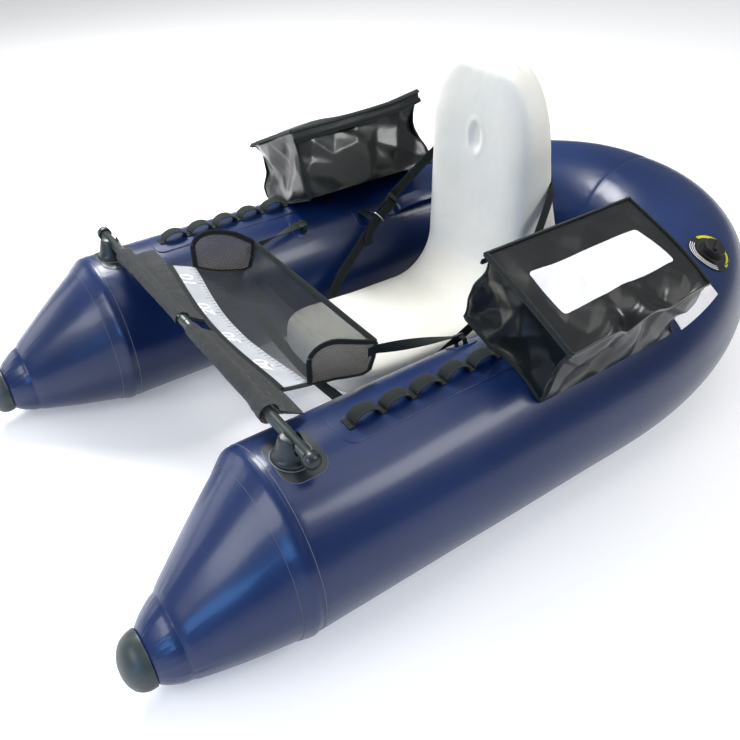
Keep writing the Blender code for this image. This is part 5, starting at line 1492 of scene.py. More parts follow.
@dataclass
class Harness:
    """Seat webs with their ladder buckles, tails, wire rings and anchors, and the front sling."""

    width: float = 0.025
    thickness: float = 0.0016
    gap: float = 0.0003
    buckle: tuple = (0.203, 0.088, 0.320)
    buckle_slope: float = radians(44)
    slots: tuple = ((0.0016, -0.00335), (0.0046, -0.00335), (0.0086, 0.00365), (0.0248, 0.00425))
    rim_turns: tuple = ((17, 23, 30, 37, 48, 62, 78), (-10, 0, 8, 17, 27, 37, 48, 62, 78))
    rim_power: float = 0.5
    standoff: float = 0.0040
    back_height: float = 0.466
    back_drop: float = 0.030
    foam_top: float = 0.656
    foam_reach: float = 0.386
    side_end: tuple = (0.172, -0.079, 0.182)
    under_aft: float = -0.104
    under: float = 0.1129
    pan_slope: float = -0.05
    sling_aft: float = 0.284
    sling_lean: float = radians(-84)
    sling_foot: float = radians(14)
    sling_under: float = 0.1265
    tail_start: tuple = ((0.0, -0.00555), (-0.010, -0.00555), (-0.020, -0.00365))
    tail_beside: float = 0.0025
    tail_straight: float = 0.030
    tail_step: float = 0.008
    tail_turn: float = radians(10)
    ring_below: float = 0.014
    ring_out: float = 0.0126
    ring_depth: float = 0.021
    ring_half: float = 0.017
    loop_radius: float = 0.0027
    ring_aft: float = 0.600
    ring_lean: float = radians(-37)

    def buckle_frame(self, side: int) -> Matrix:
        """Frame of a buckle: X up along the web, Y across it, Z away from the seat."""
        along = Vector((0, cos(self.buckle_slope), sin(self.buckle_slope)))
        return frame_of(Vector((side * self.buckle[0], *self.buckle[1:])), along, ACROSS * side)

    def threaded(self, side: int, end: int) -> list[Station]:
        """A web's dive through a slot of the buckle; end is 1 for the upper web, -1 for the lower.

        Args:
            side: 1 for left, -1 for right.
            end: 1 for the upper web, -1 for the lower.

        Returns:
            Its stations.
        """
        place = self.buckle_frame(side)
        across = place.to_3x3() @ Vector((0, side, 0))
        return [(place @ Vector((end * along, 0, out)), across) for along, out in self.slots]

    def run(self, side: int) -> tuple[Vector, Vector, Vector, Vector]:
        """The lower web beside the seat: its start, its direction, its width's, and the way to the seat.

        Args:
            side: 1 for left, -1 for right.

        Returns:
            Start, and three unit vectors square to each other.
        """
        start, across = self.threaded(side, -1)[-1]
        along = (Vector((side * self.side_end[0], *self.side_end[1:])) - start).normalized()
        across = (across - along * across.dot(along)).normalized()
        return start, along, across, along.cross(across) * side

    def rim(self, side: int, degrees: float) -> Station:
        """A station of the back web on the edge of the seat's back.

        Args:
            side: 1 for left, -1 for right.
            degrees: turn round the edge, from straight out (0) to straight aft (90).

        Returns:
            The station.
        """
        turns = self.rim_turns[0 if side > 0 else 1]
        angle = radians(degrees)
        standoff = self.standoff if degrees < turns[-1] else self.thickness / 2 + 4 * self.gap
        climb = self.back_height - self.back_drop * ((90 - degrees) / (90 - turns[0])) ** 2
        reach = copysign(abs(sin(angle)) ** self.rim_power, angle)
        share = min((self.foam_top - climb) / self.foam_reach, 1) if degrees > 0 else 0
        out = (Seat.half_width + standoff) * cos(angle) ** self.rim_power
        aft = Seat.back + reach * (Seat.thickness / 2 + Seat.lumbar * share ** 2 + standoff)
        across = UP - AFT * reach * 2 * Seat.lumbar * share / self.foam_reach
        if degrees == turns[0]:
            across = UP - AFT
            out += self.standoff
        return Vector((side * out, aft, climb)), across

    def upper(self, side: int) -> list[Station]:
        """Half of the back web, from the buckle to the middle of the seat's back."""
        turns = self.rim_turns[0 if side > 0 else 1]
        return self.threaded(side, 1) + [self.rim(side, turn) for turn in turns]

    def lower(self, side: int) -> list[Station]:
        """Half of the under web, from the buckle down beside the seat and in under its pan.

        Args:
            side: 1 for left, -1 for right.

        Returns:
            Its stations.
        """
        start, along, across, _ = self.run(side)
        edge = Seat.half_width + self.standoff
        below = (AFT + UP * self.pan_slope).normalized()
        turn = ((edge + self.thickness, self.width, across - AFT),
                (edge - self.width / 3, self.thickness, -below), (edge - self.width, 0, -below))
        stations = self.threaded(side, -1)
        stations.append((Vector((side * self.side_end[0], *self.side_end[1:])), across))
        return stations + [(Vector((side * out, self.under_aft, self.under + lift)), way)
                           for out, lift, way in turn]

    def sling(self, side: int) -> list[Station]:
        """Half of the front sling, from the tube's inner wall to under the pan's front edge.

        Args:
            side: 1 for left, -1 for right.

        Returns:
            Its stations.
        """
        above = self.thickness / 2 + self.gap
        foot = [FORM.on(self.sling_aft, self.sling_lean + self.sling_foot * step / 3, side, above)[0]
                for step in (3, 2, 1, 0)]
        leave = foot[-1] - UP * self.width - ACROSS * side * self.width / 4
        edge = Vector((side * (Seat.half_width - Seat.front_round), leave.y, self.sling_under))
        return [(point, AFT) for point in foot + [leave, edge]]

    def tail(self, side: int) -> list[Station]:
        """Loose end of the lower web: behind the buckle, down beside the web, then curling away.

        Args:
            side: 1 for left, -1 for right.

        Returns:
            Its stations.
        """
        start, along, across, inward = self.run(side)
        place = self.buckle_frame(side)
        stations = [(place @ Vector((back, 0, out)), across) for back, out in self.tail_start]
        spot = start + inward * self.tail_beside + along * self.ring_below
        stations.append((spot.copy(), across))
        spot += along * self.tail_straight
        stations.append((spot.copy(), across))
        for step in range(1, 6):
            turn = self.tail_turn * step
            spot += (along * cos(turn) - across * sin(turn)) * self.tail_step
            stations.append((spot.copy(), across * cos(turn) + along * sin(turn)))
        return stations

    def build(self) -> None:
        """Makes every web and its fittings."""
        for name, node, half, steps in (("back_web", "back_strap", self.upper, 4),
                                        ("under_web", "under_strap", self.lower, 4),
                                        ("front_web", "front_sling", self.sling, 5)):
            item = strap(name, half(1) + half(-1)[::-1], steps=steps)
            Bench.dress(item, Finishes.WEB, "hull", node)
        for side, word in SIDES:
            item = strap(f"web_tail_{word}", self.tail(side), steps=4)
            Bench.dress(item, Finishes.WEB, "hull", f"strap_tail_{word}")
            self.ring(side, word)

    def ring(self, side: int, word: str) -> None:
        """Wire ring, the web tab round its straight bar, and the tab's patch.

        Args:
            side: 1 for left, -1 for right.
            word: the side's name.
        """
        start, along, across, inward = self.run(side)
        spot = start + along * self.ring_below
        middle = spot - inward * self.ring_out
        points = [middle + across * self.ring_half * (1 - 2 * share) for share in shares(8)]
        for share in shares(24):
            angle = pi * share
            points.append(spot - across * self.ring_half * cos(angle)
                          + inward * (self.ring_depth - self.ring_out) * sin(angle))
        item = Bench.tube(f"wire_ring_{word}", points, 0.0016, 12, cyclic=True)
        Bench.dress(item, Finishes.NICKEL, "hull", f"strap_ring_{word}", angle=60)
        foot = FORM.on(self.ring_aft, self.ring_lean, side)[0]
        toward = middle - foot
        length = toward.length + 0.001
        toward = (toward - across * toward.dot(across)).normalized()
        lift = toward.cross(across) * self.loop_radius
        path = [middle - toward * length + lift]
        path += [middle + lift * cos(pi * share) + toward * self.loop_radius * sin(pi * share)
                 for share in shares(8)]
        path.append(middle - toward * length - lift)
        item = strap(f"ring_web_{word}", [(point, across) for point in path], 0.023, 0.0015, 2)
        Bench.dress(item, Finishes.WEB, "hull")
        WeldedPatch(f"ring_patch_{word}", self.ring_aft, self.ring_lean, side, 0.052, 0.052, 0.013,
                    stands_for=(f"ring_anchor_{word}",)).build()


@dataclass
class Handles:
    """Grab handles: a band of coated cloth arched between two feet on one long patch."""

    lean: float = radians(-40)
    aft: float = 0.770
    length: float = 0.176
    rise: float = 0.032
    width: float = 0.030
    foot: float = 0.026
    margin: float = 0.012
    above: float = 0.0024

    def build(self) -> None:
        """Makes both handles."""
        for side, word in SIDES:
            length = self.length + 2 * (self.foot + self.margin)
            WeldedPatch(f"handle_patch_{word}", self.aft, self.lean, side, length,
                        self.width + 2 * self.margin, 0.026,
                        stands_for=(f"grab_handle_{word}",)).build()
            half = self.length / 2
            path = [(-half - self.foot, self.above), (-half - self.foot / 2, self.above)]
            for share in shares(24):
                path.append((-half * cos(pi * share),
                             self.above + (self.rise - 0.001) * sin(pi * share) ** (2 / 3)))
            path += [(half + self.foot / 2, self.above), (half + self.foot, self.above)]
            stations = []
            for along, above in path:
                point, normal, heading = FORM.on(self.aft + along, self.lean, side, above)
                stations.append((point, heading.cross(normal)))
            item = strap(f"handle_grip_{word}", stations, self.width, 0.0026, 2)
            Bench.dress(item, Finishes.NAVY, "hull")


@dataclass
class Valves:
    """Inflation valves with printed rings and tethers for their caps."""

    turn: float = radians(38)
    lean: float = radians(24)
    print_radius: float = 0.047
    tether_turn: tuple = (0.6, 2.3)
    tether_radius: float = 0.0300
    tether_above: float = 0.0055

    def build(self) -> None:
        """Makes what lies round both valves; the valves themselves keep their turned shapes."""
        for side, word in SIDES:
            aft = FORM.straight + FORM.stern_reach * sin(self.turn) ** (2 / FORM.squareness)
            rings = [("base", 0.0270, self.print_radius, 0.0004, Finishes.VALVE_PRINT, 0.0, 1.0),
                     ("arc", 0.0375, 0.0445, 0.0009, Finishes.RING_INK, 0.84, 1.28)]
            rings += [(f"line_{tag}", inner, inner + 0.0014, 0.0009, Finishes.LABEL, 0.38, 0.76)
                      for tag, inner in enumerate((0.0345, 0.0385, 0.0425))]
            for kind, *ring in rings:
                self.disc(f"valve_{kind}_{word}", aft, side, *ring)
            points = []
            for share in shares(25):
                angle = self.tether_turn[0] + self.tether_turn[1] * share
                radius = self.tether_radius + 0.0080 * sin(pi * share)
                above = self.tether_above + 0.004 * sin(pi * share)
                points.append(laid(aft, self.lean, side, radius * cos(angle), radius * sin(angle), above))
            item = Bench.tube(f"valve_tether_{word}", points, 0.0012, 10, softness=2)
            Bench.dress(item, Finishes.VALVE, "hull", angle=60)

    def disc(self, name: str, aft: float, side: int, inner: float, outer: float, above: float,
             finish: Finishes, start: float, end: float) -> None:
        """Flat ring or arc that follows the tube; start and end are shares of a turn.

        Args:
            name: the piece's name.
            aft: the valve's distance aft of the bow seam.
            side: 1 for left, -1 for right.
            inner: inner radius.
            outer: outer radius.
            above: height over the skin.
            finish: its finish.
            start: share of a turn where it starts.
            end: share of a turn where it ends.
        """
        whole = end - start == 1.0

        def spot(share: float, radius: float) -> Vector:
            """A point of the ring."""
            angle = 2 * pi * (start + (end - start) * share)
            return laid(aft, self.lean, side, radius * cos(angle), radius * sin(angle), above)

        stops = [inner + (outer - inner) * share for share in shares(6)]
        item = Bench.sheet(name, 96 if whole else 60, stops, spot, around=whole)
        Bench.thicken(item, 0.0005)
        Bench.dress(item, finish, "hull", angle=40)


@dataclass
class SideBags:
    """Tarpaulin bags that sag and crumple between their bound edges, with hinged lids."""

    half_width: float = 0.1045
    half_length: float = 0.167
    height: float = 0.132
    lid: float = 0.0035
    wall: float = 0.0022
    overhang: float = 0.003
    flap: float = 0.024
    roll: float = 0.0015
    corner: float = 0.010
    aft: float = 0.620
    lift: float = 0.0045
    tilt: tuple = (radians(18.6), radians(25.0))
    inboard: tuple = (0.043, 0.079)

    def frame(self, side: int) -> tuple[Matrix, float]:
        """Placement of a bag, X outward, and how far its base lies inboard.

        Args:
            side: 1 for left, -1 for right.

        Returns:
            The placement and the distance.
        """
        index = 0 if side > 0 else 1
        tilt, inboard = self.tilt[index], self.inboard[index]
        normal = Vector((side * sin(tilt), 0, cos(tilt)))
        across = Vector((side * cos(tilt), 0, -sin(tilt)))
        origin = FORM.axis_at(self.aft, side)[0] + normal * (FORM.radius + self.lift) - across * inboard
        turn = Matrix((across, AFT, normal)).transposed().to_4x4()
        return Matrix.Translation(origin) @ turn, inboard

    @property
    def depth(self) -> float:
        """Height of the walls under the lid."""
        return self.height - self.lid - 0.0006

    @property
    def lid_half(self) -> tuple[float, float]:
        """Half of the lid's width and length."""
        return self.half_width + self.overhang, self.half_length + self.overhang

    def outer(self, x: float) -> float:
        """Zero at the inboard edge, one at the outer."""
        return max(0.0, min(1.0, 0.5 + 0.5 * x / self.half_width))

    def rim(self, share: float) -> Station:
        """Point and outward direction on the rounded rectangle of the walls, by share of its length.

        Args:
            share: of the way round, from zero to one.

        Returns:
            The point and the direction.
        """
        a, b, r = self.half_width, self.half_length, self.corner
        sides = (2 * (b - r), pi / 2 * r, 2 * (a - r), pi / 2 * r) * 2
        left = share % 1.0 * sum(sides)
        corners = ((1, 1), (-1, 1), (-1, -1), (1, -1))
        for index in range(4):
            straight, arc = sides[2 * (index % 2)], sides[1]
            turn = pi / 2 * index
            out = Vector((cos(turn), sin(turn), 0))
            way = Vector((-sin(turn), cos(turn), 0))
            sx, sy = corners[index]
            centre = Vector((sx * (a - r), sy * (b - r), 0))
            if left <= straight:
                return centre - way * (straight - left) + out * r, out
            left -= straight
            if left <= arc:
                angle = turn + left / r
                out = Vector((cos(angle), sin(angle), 0))
                return centre + out * r, out
            left -= arc
        return Vector((a, -b + r, 0)), Vector((1, 0, 0))

    def crumple(self, point: Vector, seed: int) -> float:
        """Folded-cloth relief: straight creases that cross each other, between flat facets.

        Args:
            point: in the bag's frame.
            seed: of the creases.

        Returns:
            The height of the relief.
        """
        pick = random.Random(seed)
        total = 0.0
        for index in range(6):
            way = Vector((pick.uniform(-1, 1), pick.uniform(-1, 1), pick.uniform(-1, 1))).normalized()
            gap = pick.uniform(0.07, 0.16)
            away = (point.dot(way) / gap + pick.random()) % 1 - 0.5
            total += 0.21 * gap * (sqrt(away * away + 0.0008) - 0.25)
        fine = noise.noise(Vector((point.x * 42, point.y * 40 + seed, point.z * 44)))
        return total + 0.0010 * fine

    def rise(self, x: float, y: float, side: int) -> float:
        """How the soft top departs from flat: the outer edge twists and dents.

        Args:
            x: outward from the middle.
            y: aft of the middle.
            side: 1 for left, -1 for right.

        Returns:
            The rise.
        """
        outer = self.outer(x)
        if side > 0:
            twist = (0.0125 if y < 0 else 0.0010) * y / self.half_length * outer ** 1.5
        else:
            twist = 0.0040 * y / self.half_length
        if side < 0:
            dome = 0.011 * (1 - (x / self.half_width) ** 2) * exp(-((y + 0.050) / 0.085) ** 2)
            curl = 0.010 * max(y / self.half_length, 0) ** 3 * (1 - outer)
            return twist + dome + curl
        dent = 0.0230 * exp(-abs((y + 0.040) / 0.024) ** 1.6) * outer ** 5
        dent += 0.0130 * exp(-((y - 0.060) / 0.035) ** 2) * outer ** 6
        return twist - dent + 0.0030 * exp(-((y - 0.008) / 0.018) ** 2) * outer ** 4

    def slip(self, x: float, y: float, side: int) -> float:
        """How far the near bag's outer stern corner is pushed in toward the bow."""
        outer = self.outer(x)
        return -0.021 * max(y / self.half_length, 0) ** 2 * outer ** 3 if side > 0 else 0.0

    def droop(self, x: float, inboard: float) -> float:
        """How far the base hangs down the tube's side."""
        away = x - inboard
        return min(away * away / 0.325, 0.0150)

    def build(self) -> None:
        """Makes both bags."""
        for side, word in SIDES:
            place, inboard = self.frame(side)
            self.body(side, word, place, inboard)
            self.top(side, word, place)
            self.bindings(side, word, place, inboard)
            pad = Bench.block(f"bag_foot_{word}", (0.060, 0.290, 0.010),
                              place @ Matrix.Translation((inboard, 0, -0.0046)), 0.003)
            Bench.dress(pad, Finishes.WEB_PLAIN, "hull", f"bag_pad_{word}", angle=40)
            WeldedPatch(f"bag_tab_{word}", self.aft - 0.075, radians(-3), side, 0.022, 0.048, 0.0036,
                        Finishes.WEB_PLAIN, None, stands_for=(f"bag_tie_{word}",)).build()
        WeldedPatch("stern_plate", 0.872, radians(39.5), 1, 0.135, 0.028, 0.0015, Finishes.LABEL,
                    None).build()
        self.label()

    def wall_point(self, side: int, inboard: float, share: float, height: float) -> Vector:
        """A point of the wall's cloth, in the bag's frame.

        Args:
            side: 1 for left, -1 for right.
            inboard: distance of the tube's axis from the bag's middle.
            share: of the way round.
            height: above the base.

        Returns:
            The point.
        """
        flat, out = self.rim(share)
        level = height / self.depth
        hold = sin(pi * min(max(level, 0), 1)) ** 0.6
        loose = self.crumple(Vector((flat.x, flat.y, height - 0.06)), 31 + side)
        face = 1.0 if abs(out.y) > 0.7 or out.x > 0.7 or side < 0 else 0.5
        push = hold * face * (loose * (1.3 if out.x > 0.7 else 1.0) - 0.0030)
        if out.x > 0.7 and side > 0:
            push -= 0.013 * exp(-((flat.y + 0.040) / 0.035) ** 2) * hold
            push -= 0.008 * exp(-((flat.y - 0.060) / 0.045) ** 2) * hold
        push = min(push, 0.0050)
        z = height - self.droop(flat.x, inboard) * (1 - level) ** 1.4
        z += self.rise(flat.x, flat.y, side) * level ** 2
        slip = self.slip(flat.x, flat.y, side) * level ** 1.5
        return Vector((flat.x + out.x * push, flat.y + out.y * push + slip, z))

    def body(self, side: int, word: str, place: Matrix, inboard: float) -> None:
        """Open shell: base, walls, rim and lining.

        Args:
            side: 1 for left, -1 for right.
            word: the side's name.
            place: the bag's placement.
            inboard: distance of the tube's axis from the bag's middle.
        """
        depth = self.depth
        levels = [("base", 0.03), ("base", 0.25), ("base", 0.5), ("base", 0.75), ("base", 0.92)]
        levels += [("wall", depth * share) for share in shares(34)]
        levels += [("lining", depth * (1 - step / 22)) for step in range(22)]
        levels += [("floor", 0.9), ("floor", 0.6), ("floor", 0.3), ("floor", 0.03)]

        def spot(share: float, stop: float) -> Vector:
            """A point of the shell."""
            kind, value = levels[round(stop)]
            if kind == "wall":
                return place @ self.wall_point(side, inboard, share, value)
            if kind == "lining":
                point = self.wall_point(side, inboard, share, max(value, 0.003))
                return place @ (point - self.rim(share)[1] * self.wall)
            edge = self.wall_point(side, inboard, share, 0.0 if kind == "base" else 0.003)
            if kind == "floor":
                edge -= self.rim(share)[1] * self.wall
            z = -self.droop(edge.x * value, inboard) + (0.003 if kind == "floor" else 0.0)
            return place @ Vector((edge.x * value, edge.y * value, z))

        item = Bench.sheet(f"bag_shell_{word}", 288, range(len(levels)), spot, around=True,
                           capped=True)
        Bench.dress(item, Finishes.TARP, "hull", f"bag_body_{word}", angle=42)
        width, length = 2 * self.half_width, 2 * self.half_length
        width + 2 * depth
        length + 2 * depth
        width * length + 2 * (width + length) * depth

    def lid_point(self, side: int, x: float, y: float, above: float) -> Vector:
        """A point of the lid's cloth, in the bag's frame.

        Args:
            side: 1 for left, -1 for right.
            x: outward from the middle.
            y: aft of the middle.
            above: height over the cloth's middle.

        Returns:
            The point.
        """
        reach, end = self.lid_half
        edge = min(1 - abs(x) / reach, 1 - abs(y) / end)
        soft = min(max(edge, 0) * 5, 1)
        relief = self.crumple(Vector((x, y, 0.05)), 31 + side)
        relief *= 0.25 + 0.75 * max(x / self.half_width, 0) ** 2
        z = self.height - self.lid / 2 + above + self.rise(x, y, side) + soft * (relief - 0.0014)
        return Vector((x, y + self.slip(x, y, side), z))

    def top(self, side: int, word: str, place: Matrix) -> None:
        """Lid panel with the zip flap that folds down its inboard edge.

        Args:
            side: 1 for left, -1 for right.
            word: the side's name.
            place: the bag's placement.
        """
        reach, end = self.lid_half
        stops = [-1 + step / 5 for step in range(5)] + shares(56)
        stops += [1 + step / 5 for step in range(1, 6)]

        def spot(share: float, stop: float) -> Vector:
            """A point of the lid: stops below zero are on the flap."""
            y = end * (2 * share - 1)
            if stop < 0:
                point = self.lid_point(side, -reach, y, 0.0)
                wave = 0.0008 * noise.noise(Vector((y * 22, stop * 2, side)))
                y *= 1 - 0.012 * min(-stop * 3, 1)
                return place @ Vector((point.x + 0.0007 + wave, y, point.z + self.flap * stop))
            if stop > 1:
                point = self.lid_point(side, reach - self.roll, y, 0.0)
                angle = pi / 2 * (stop - 1)
                point += Vector((self.roll * sin(angle), 0, -0.0040 * (1 - cos(angle))))
                return place @ point
            return place @ self.lid_point(side, -reach + (2 * reach - self.roll) * stop, y, 0.0)

        item = Bench.sheet(f"bag_cover_{word}", 110, stops, spot)
        Bench.thicken(item, 0.0018)
        Bench.dress(item, Finishes.TARP, f"lid_{word}", f"bag_lid_{word}")
        2 * end
        2 * reach + self.flap

    def bindings(self, side: int, word: str, place: Matrix, inboard: float) -> None:
        """Tape over the lid's edges, the walls' corners and the base's ends.

        Args:
            side: 1 for left, -1 for right.
            word: the side's name.
            place: the bag's placement.
            inboard: distance of the tube's axis from the bag's middle.
        """
        reach, end = self.lid_half
        lift = 0.0006
        spread = [2 * share - 1 for share in shares(26)]
        drop = Vector((0.0012, 0, self.flap - 0.005))
        edges = (("inboard", 0.0040, Vector((0.7, 0, 0.7)),
                  [self.lid_point(side, -reach, end * v, lift) for v in spread]),
                 ("bow", 0.0040, Vector((0, 0.7, 0.7)),
                  [self.lid_point(side, reach * v, -end, lift) for v in spread]),
                 ("stern", 0.0040, Vector((0, -0.7, 0.7)),
                  [self.lid_point(side, reach * v, end, lift) for v in spread]),
                 ("hem", 0.0030, UP,
                  [self.lid_point(side, -reach, end * v, 0.0) - drop for v in spread]))
        tapes = [strap(f"lid_tape_{tag}_{word}", placed(place, [(point, across) for point in points]),
                       0.0100, thickness, 2) for tag, thickness, across, points in edges]
        Bench.dress(Bench.join(tapes, f"lid_tape_{word}"), Finishes.BINDING, f"lid_{word}")
        total = 4 * (self.half_width + self.half_length) - 8 * self.corner + 2 * pi * self.corner
        first = (2 * (self.half_length - self.corner) + pi / 4 * self.corner) / total
        second = first + (2 * (self.half_width - self.corner) + pi / 2 * self.corner) / total
        tapes = []
        for tag, share in enumerate((first, second, first + 0.5, second + 0.5)):
            top = self.height - self.lid - 0.0015 - (self.flap if tag in (1, 2) else 0) * 0.2
            out = self.rim(share)[1]
            path = [(self.wall_point(side, inboard, share, top * climb) + out * 0.0005,
                     Vector((-out.y, out.x, 0))) for climb in shares(14)]
            tapes.append(strap(f"corner_{tag}_{word}", placed(place, path), 0.0075, 0.0032, 2))
        for tag, low in enumerate((first, first + 0.5)):
            path = []
            for part in shares(24):
                share = low + (second - first) * part
                out = self.rim(share)[1]
                path.append((self.wall_point(side, inboard, share, 0.0) + out * 0.0006, out * 0.6 - UP))
            tapes.append(strap(f"base_{tag}_{word}", placed(place, path), 0.0080, 0.0030, 2))
        Bench.dress(Bench.join(tapes, f"bag_tape_{word}"), Finishes.BINDING, "hull")

    def label(self) -> None:
        """Bare white plate on the near lid."""
        place = self.frame(1)[0]
        low, high = Vector((-0.0437, -0.1300)), Vector((0.0430, 0.1270))
        middle, half = (low + high) / 2, (high - low) / 2
        corner = 0.007
        stops = [1 - (1 - sin(pi / 2 * share)) * corner / half.y for share in shares(5)]
        inner = [stops[0] * step / 14 for step in range(-13, 14)]
        stops = [-value for value in reversed(stops)] + inner + stops

        def spot(share: float, stop: float) -> Vector:
            """A point of the plate."""
            into = abs(stop) * half.y - (half.y - corner)
            width = half.x if into <= 0 else half.x - corner + sqrt(max(corner ** 2 - into ** 2, 0))
            x, y = middle.x + width * (2 * share - 1), middle.y + half.y * stop
            y += 0.004 * (2 * share - 1)
            return place @ self.lid_point(1, x, y, 0.0016)

        item = Bench.sheet("label_plate", 30, stops, spot)
        Bench.thicken(item, 0.0007)
        Bench.dress(item, Finishes.LABEL, "lid_left", angle=40)


@dataclass
class Apron:
    """Net apron: sleeves on the bar, a band with the measuring strip, and a sagging pouch."""

    bar_y: float = -0.490
    bar_z: float = 0.337
    sleeve_half: float = 0.288
    sleeve_girth: float = 0.128
    window: float = 0.020
    half: float = 0.216
    bar_radius: float = 0.0118
    hem: tuple = (0.058, -0.018)
    slit: float = 0.18
    rows: tuple = ((0.058, -0.018), (0.112, -0.036), (0.145, -0.050), (0.182, -0.061),
                   (0.215, -0.069), (0.228, -0.067), (0.237, -0.044), (0.243, -0.0155))
    shares: tuple = (0, 0, 0.36, 0.80, 1, 0.94, 0.517, 0)
    sag: float = 0.016
    gather: tuple = (-0.025, -0.007)
    tilt: float = 0.013
    arch_spots: tuple = ((0, 0), (0.0, 0.40), (0.005, 0.80), (0.06, 1.02), (0.157, 1.14), (0.28, 1.16),
                         (0.416, 1.10), (0.71, 0.79))
    gusset_flat: tuple = (0.152, 0.102)
    strip_half: float = 0.212
    strip_width: float = 0.046
    tick_half: float = 0.0006
    tick_end: float = 0.96
    figure_size: float = 0.040
    hook_aft: float = 0.441
    hook_lean: float = radians(-31)
    loop_half: float = radians(5)
    loop_rise: float = 0.015
    corner: tuple = (0.2180, -0.2470, 0.3088)
    strap_width: float = 0.018
    strap_end: tuple = (-0.0088, 0.00235, 0.0)

    def build(self) -> None:
        """Makes the apron, its straps and their anchors."""
        self.sleeve()
        self.net()
        for side, word in SIDES:
            self.side_net(side, word)
            self.corner_strap(side, word)
            self.anchor(side, word)
        self.strip()
        self.bindings()

    def lowered(self, x: float) -> float:
        """How far the net's middle hangs in toward the bar: one in the middle, zero at its ends."""
        return max(1 - (x / self.half) ** 2, 0.0) ** 1.5

    def cloth(self, x: float, along: float) -> Vector:
        """A point of the net; along counts rows from the hem at the sleeve to the back rim.

        Args:
            x: across the boat.
            along: row, whole or in between.

        Returns:
            The point.
        """
        index = min(int(along), len(self.rows) - 2)
        share = along - index
        aft = self.rows[index][0] * (1 - share) + self.rows[index + 1][0] * share
        up = self.rows[index][1] * (1 - share) + self.rows[index + 1][1] * share
        sag = self.shares[index] * (1 - share) + self.shares[index + 1] * share
        middle = self.lowered(x)
        pull = middle * max(1 - abs(along - 0.75) / 2.2, 0.0)
        aft += self.gather[0] * pull
        up += self.gather[1] * pull - self.tilt * x / self.half * max(1 - along / 2.5, 0)
        wave = 0.0016 * noise.noise(Vector((x * 16, aft * 22, 2.0))) * min(along, 1) * min(7 - along, 1)
        up -= self.sag * sag * max(1 - (x / self.half) ** 2, 0)
        return Vector((x, self.bar_y + aft, self.bar_z + up + wave))

    def sleeve(self) -> None:
        """Cloth round the bar, sewn to itself behind it, with a window at the bar's joint."""
        pieces = []
        slope = atan2(-self.hem[1], self.hem[0])
        turns = [-slope + self.slit + (2 * pi - 2 * self.slit) * share for share in shares(28)]
        profile = [("hem", 0.0), ("hem", 0.3), ("hem", 0.6)] + [("turn", turn) for turn in turns]
        profile += [("hem", 0.6), ("hem", 0.3), ("hem", 0.0)]
        for side in (1, -1):
            def spot(share: float, stop: float, side: int = side) -> Vector:
                """A point of the sleeve."""
                order = round(stop)
                kind, value = profile[order]
                x = side * (self.window + (self.sleeve_half - self.window) * share)
                flare = 0.0045 * max(share - 0.80, 0) / 0.20
                wave = 0.0013 * noise.noise(Vector((x * 26, order * 0.25, 5.0)))
                wave += 0.0010 * noise.noise(Vector((x * 60, order * 0.5, 1.0)))
                skin = 1 if order < 16 else -1
                ring = self.bar_radius + flare + 0.0004
                hem = self.cloth(min(max(x, -self.half), self.half), 0.0)
                hem -= Vector((0, self.bar_y, self.bar_z))
                if kind == "turn":
                    aft, up = (ring + abs(wave)) * cos(value), (ring + abs(wave)) * sin(value)
                else:
                    near = Vector((ring * cos(slope), -ring * sin(slope)))
                    aft = hem.y + (near.x - hem.y) * value
                    up = hem.z + (near.y - hem.z) * value + skin * (0.0012 + 0.0016 * value) + wave
                return Vector((x, self.bar_y + aft, self.bar_z + up))

            def weave(share: float, stop: float) -> tuple[float, float]:
                """Metres across and along."""
                return (self.sleeve_half - self.window) * share, 0.0045 * stop

            item = Bench.sheet(f"sleeve_{side}", 90, range(len(profile)), spot, weave=weave)
            pieces.append(Bench.thicken(item, 0.0008))
        item = Bench.join(pieces, "sleeve_net")
        Bench.dress(item, Finishes.SLEEVE_NET, "apron", "apron_sleeve", angle=60)

    def net(self) -> None:
        """Band, pouch floor and pouch back as one cloth."""
        rows = [index + step / 6 for index in range(7) for step in range(6)] + [7.0]
        lengths = [0.0]
        for low, high in zip(rows, rows[1:]):
            lengths.append(lengths[-1] + (self.cloth(0.2, high) - self.cloth(0.2, low)).length)

        def spot(share: float, stop: float) -> Vector:
            """A point of the net."""
            return self.cloth(self.half * (2 * share - 1), rows[round(stop)])

        def weave(share: float, stop: float) -> tuple[float, float]:
            """Metres across and along."""
            return self.half * 2 * share, lengths[round(stop)]

        item = Bench.sheet("pouch_net", 96, range(len(rows)), spot, weave=weave)
        Bench.thicken(item, 0.0010)
        Bench.dress(item, Finishes.NET, "apron", "apron_pouch", angle=60)

    def arch(self, side: int, share: float) -> Vector:
        """A point of a gusset's upper edge, from the brink to the back rim.

        Args:
            side: 1 for left, -1 for right.
            share: of the way, from zero to one.

        Returns:
            The point.
        """
        brink, rim = self.cloth(side * self.half, 1.0), self.cloth(side * self.half, 7.0)
        spots = [Vector((side * self.half, brink.y + (rim.y - brink.y) * along, brink.z + 0.056 * rise))
                 for along, rise in self.arch_spots]
        spots.append(rim)
        line = softened(spots, 6)
        place = share * (len(line) - 1)
        low = min(int(place), len(line) - 2)
        return line[low].lerp(line[low + 1], place - low)

    def side_net(self, side: int, word: str) -> None:
        """Gusset between the pouch's side edge and its arch.

        Args:
            side: 1 for left, -1 for right.
            word: the side's name.
        """
        def spot(share: float, stop: float) -> Vector:
            """A point of the gusset."""
            low = self.cloth(side * self.half, 1 + 6 * share)
            point = low.lerp(self.arch(side, share), stop)
            bulge = 0.0035 * sin(pi * stop) * sin(pi * share)
            bulge += 0.0012 * noise.noise(point * 30) * sin(pi * stop)
            return point + ACROSS * side * bulge

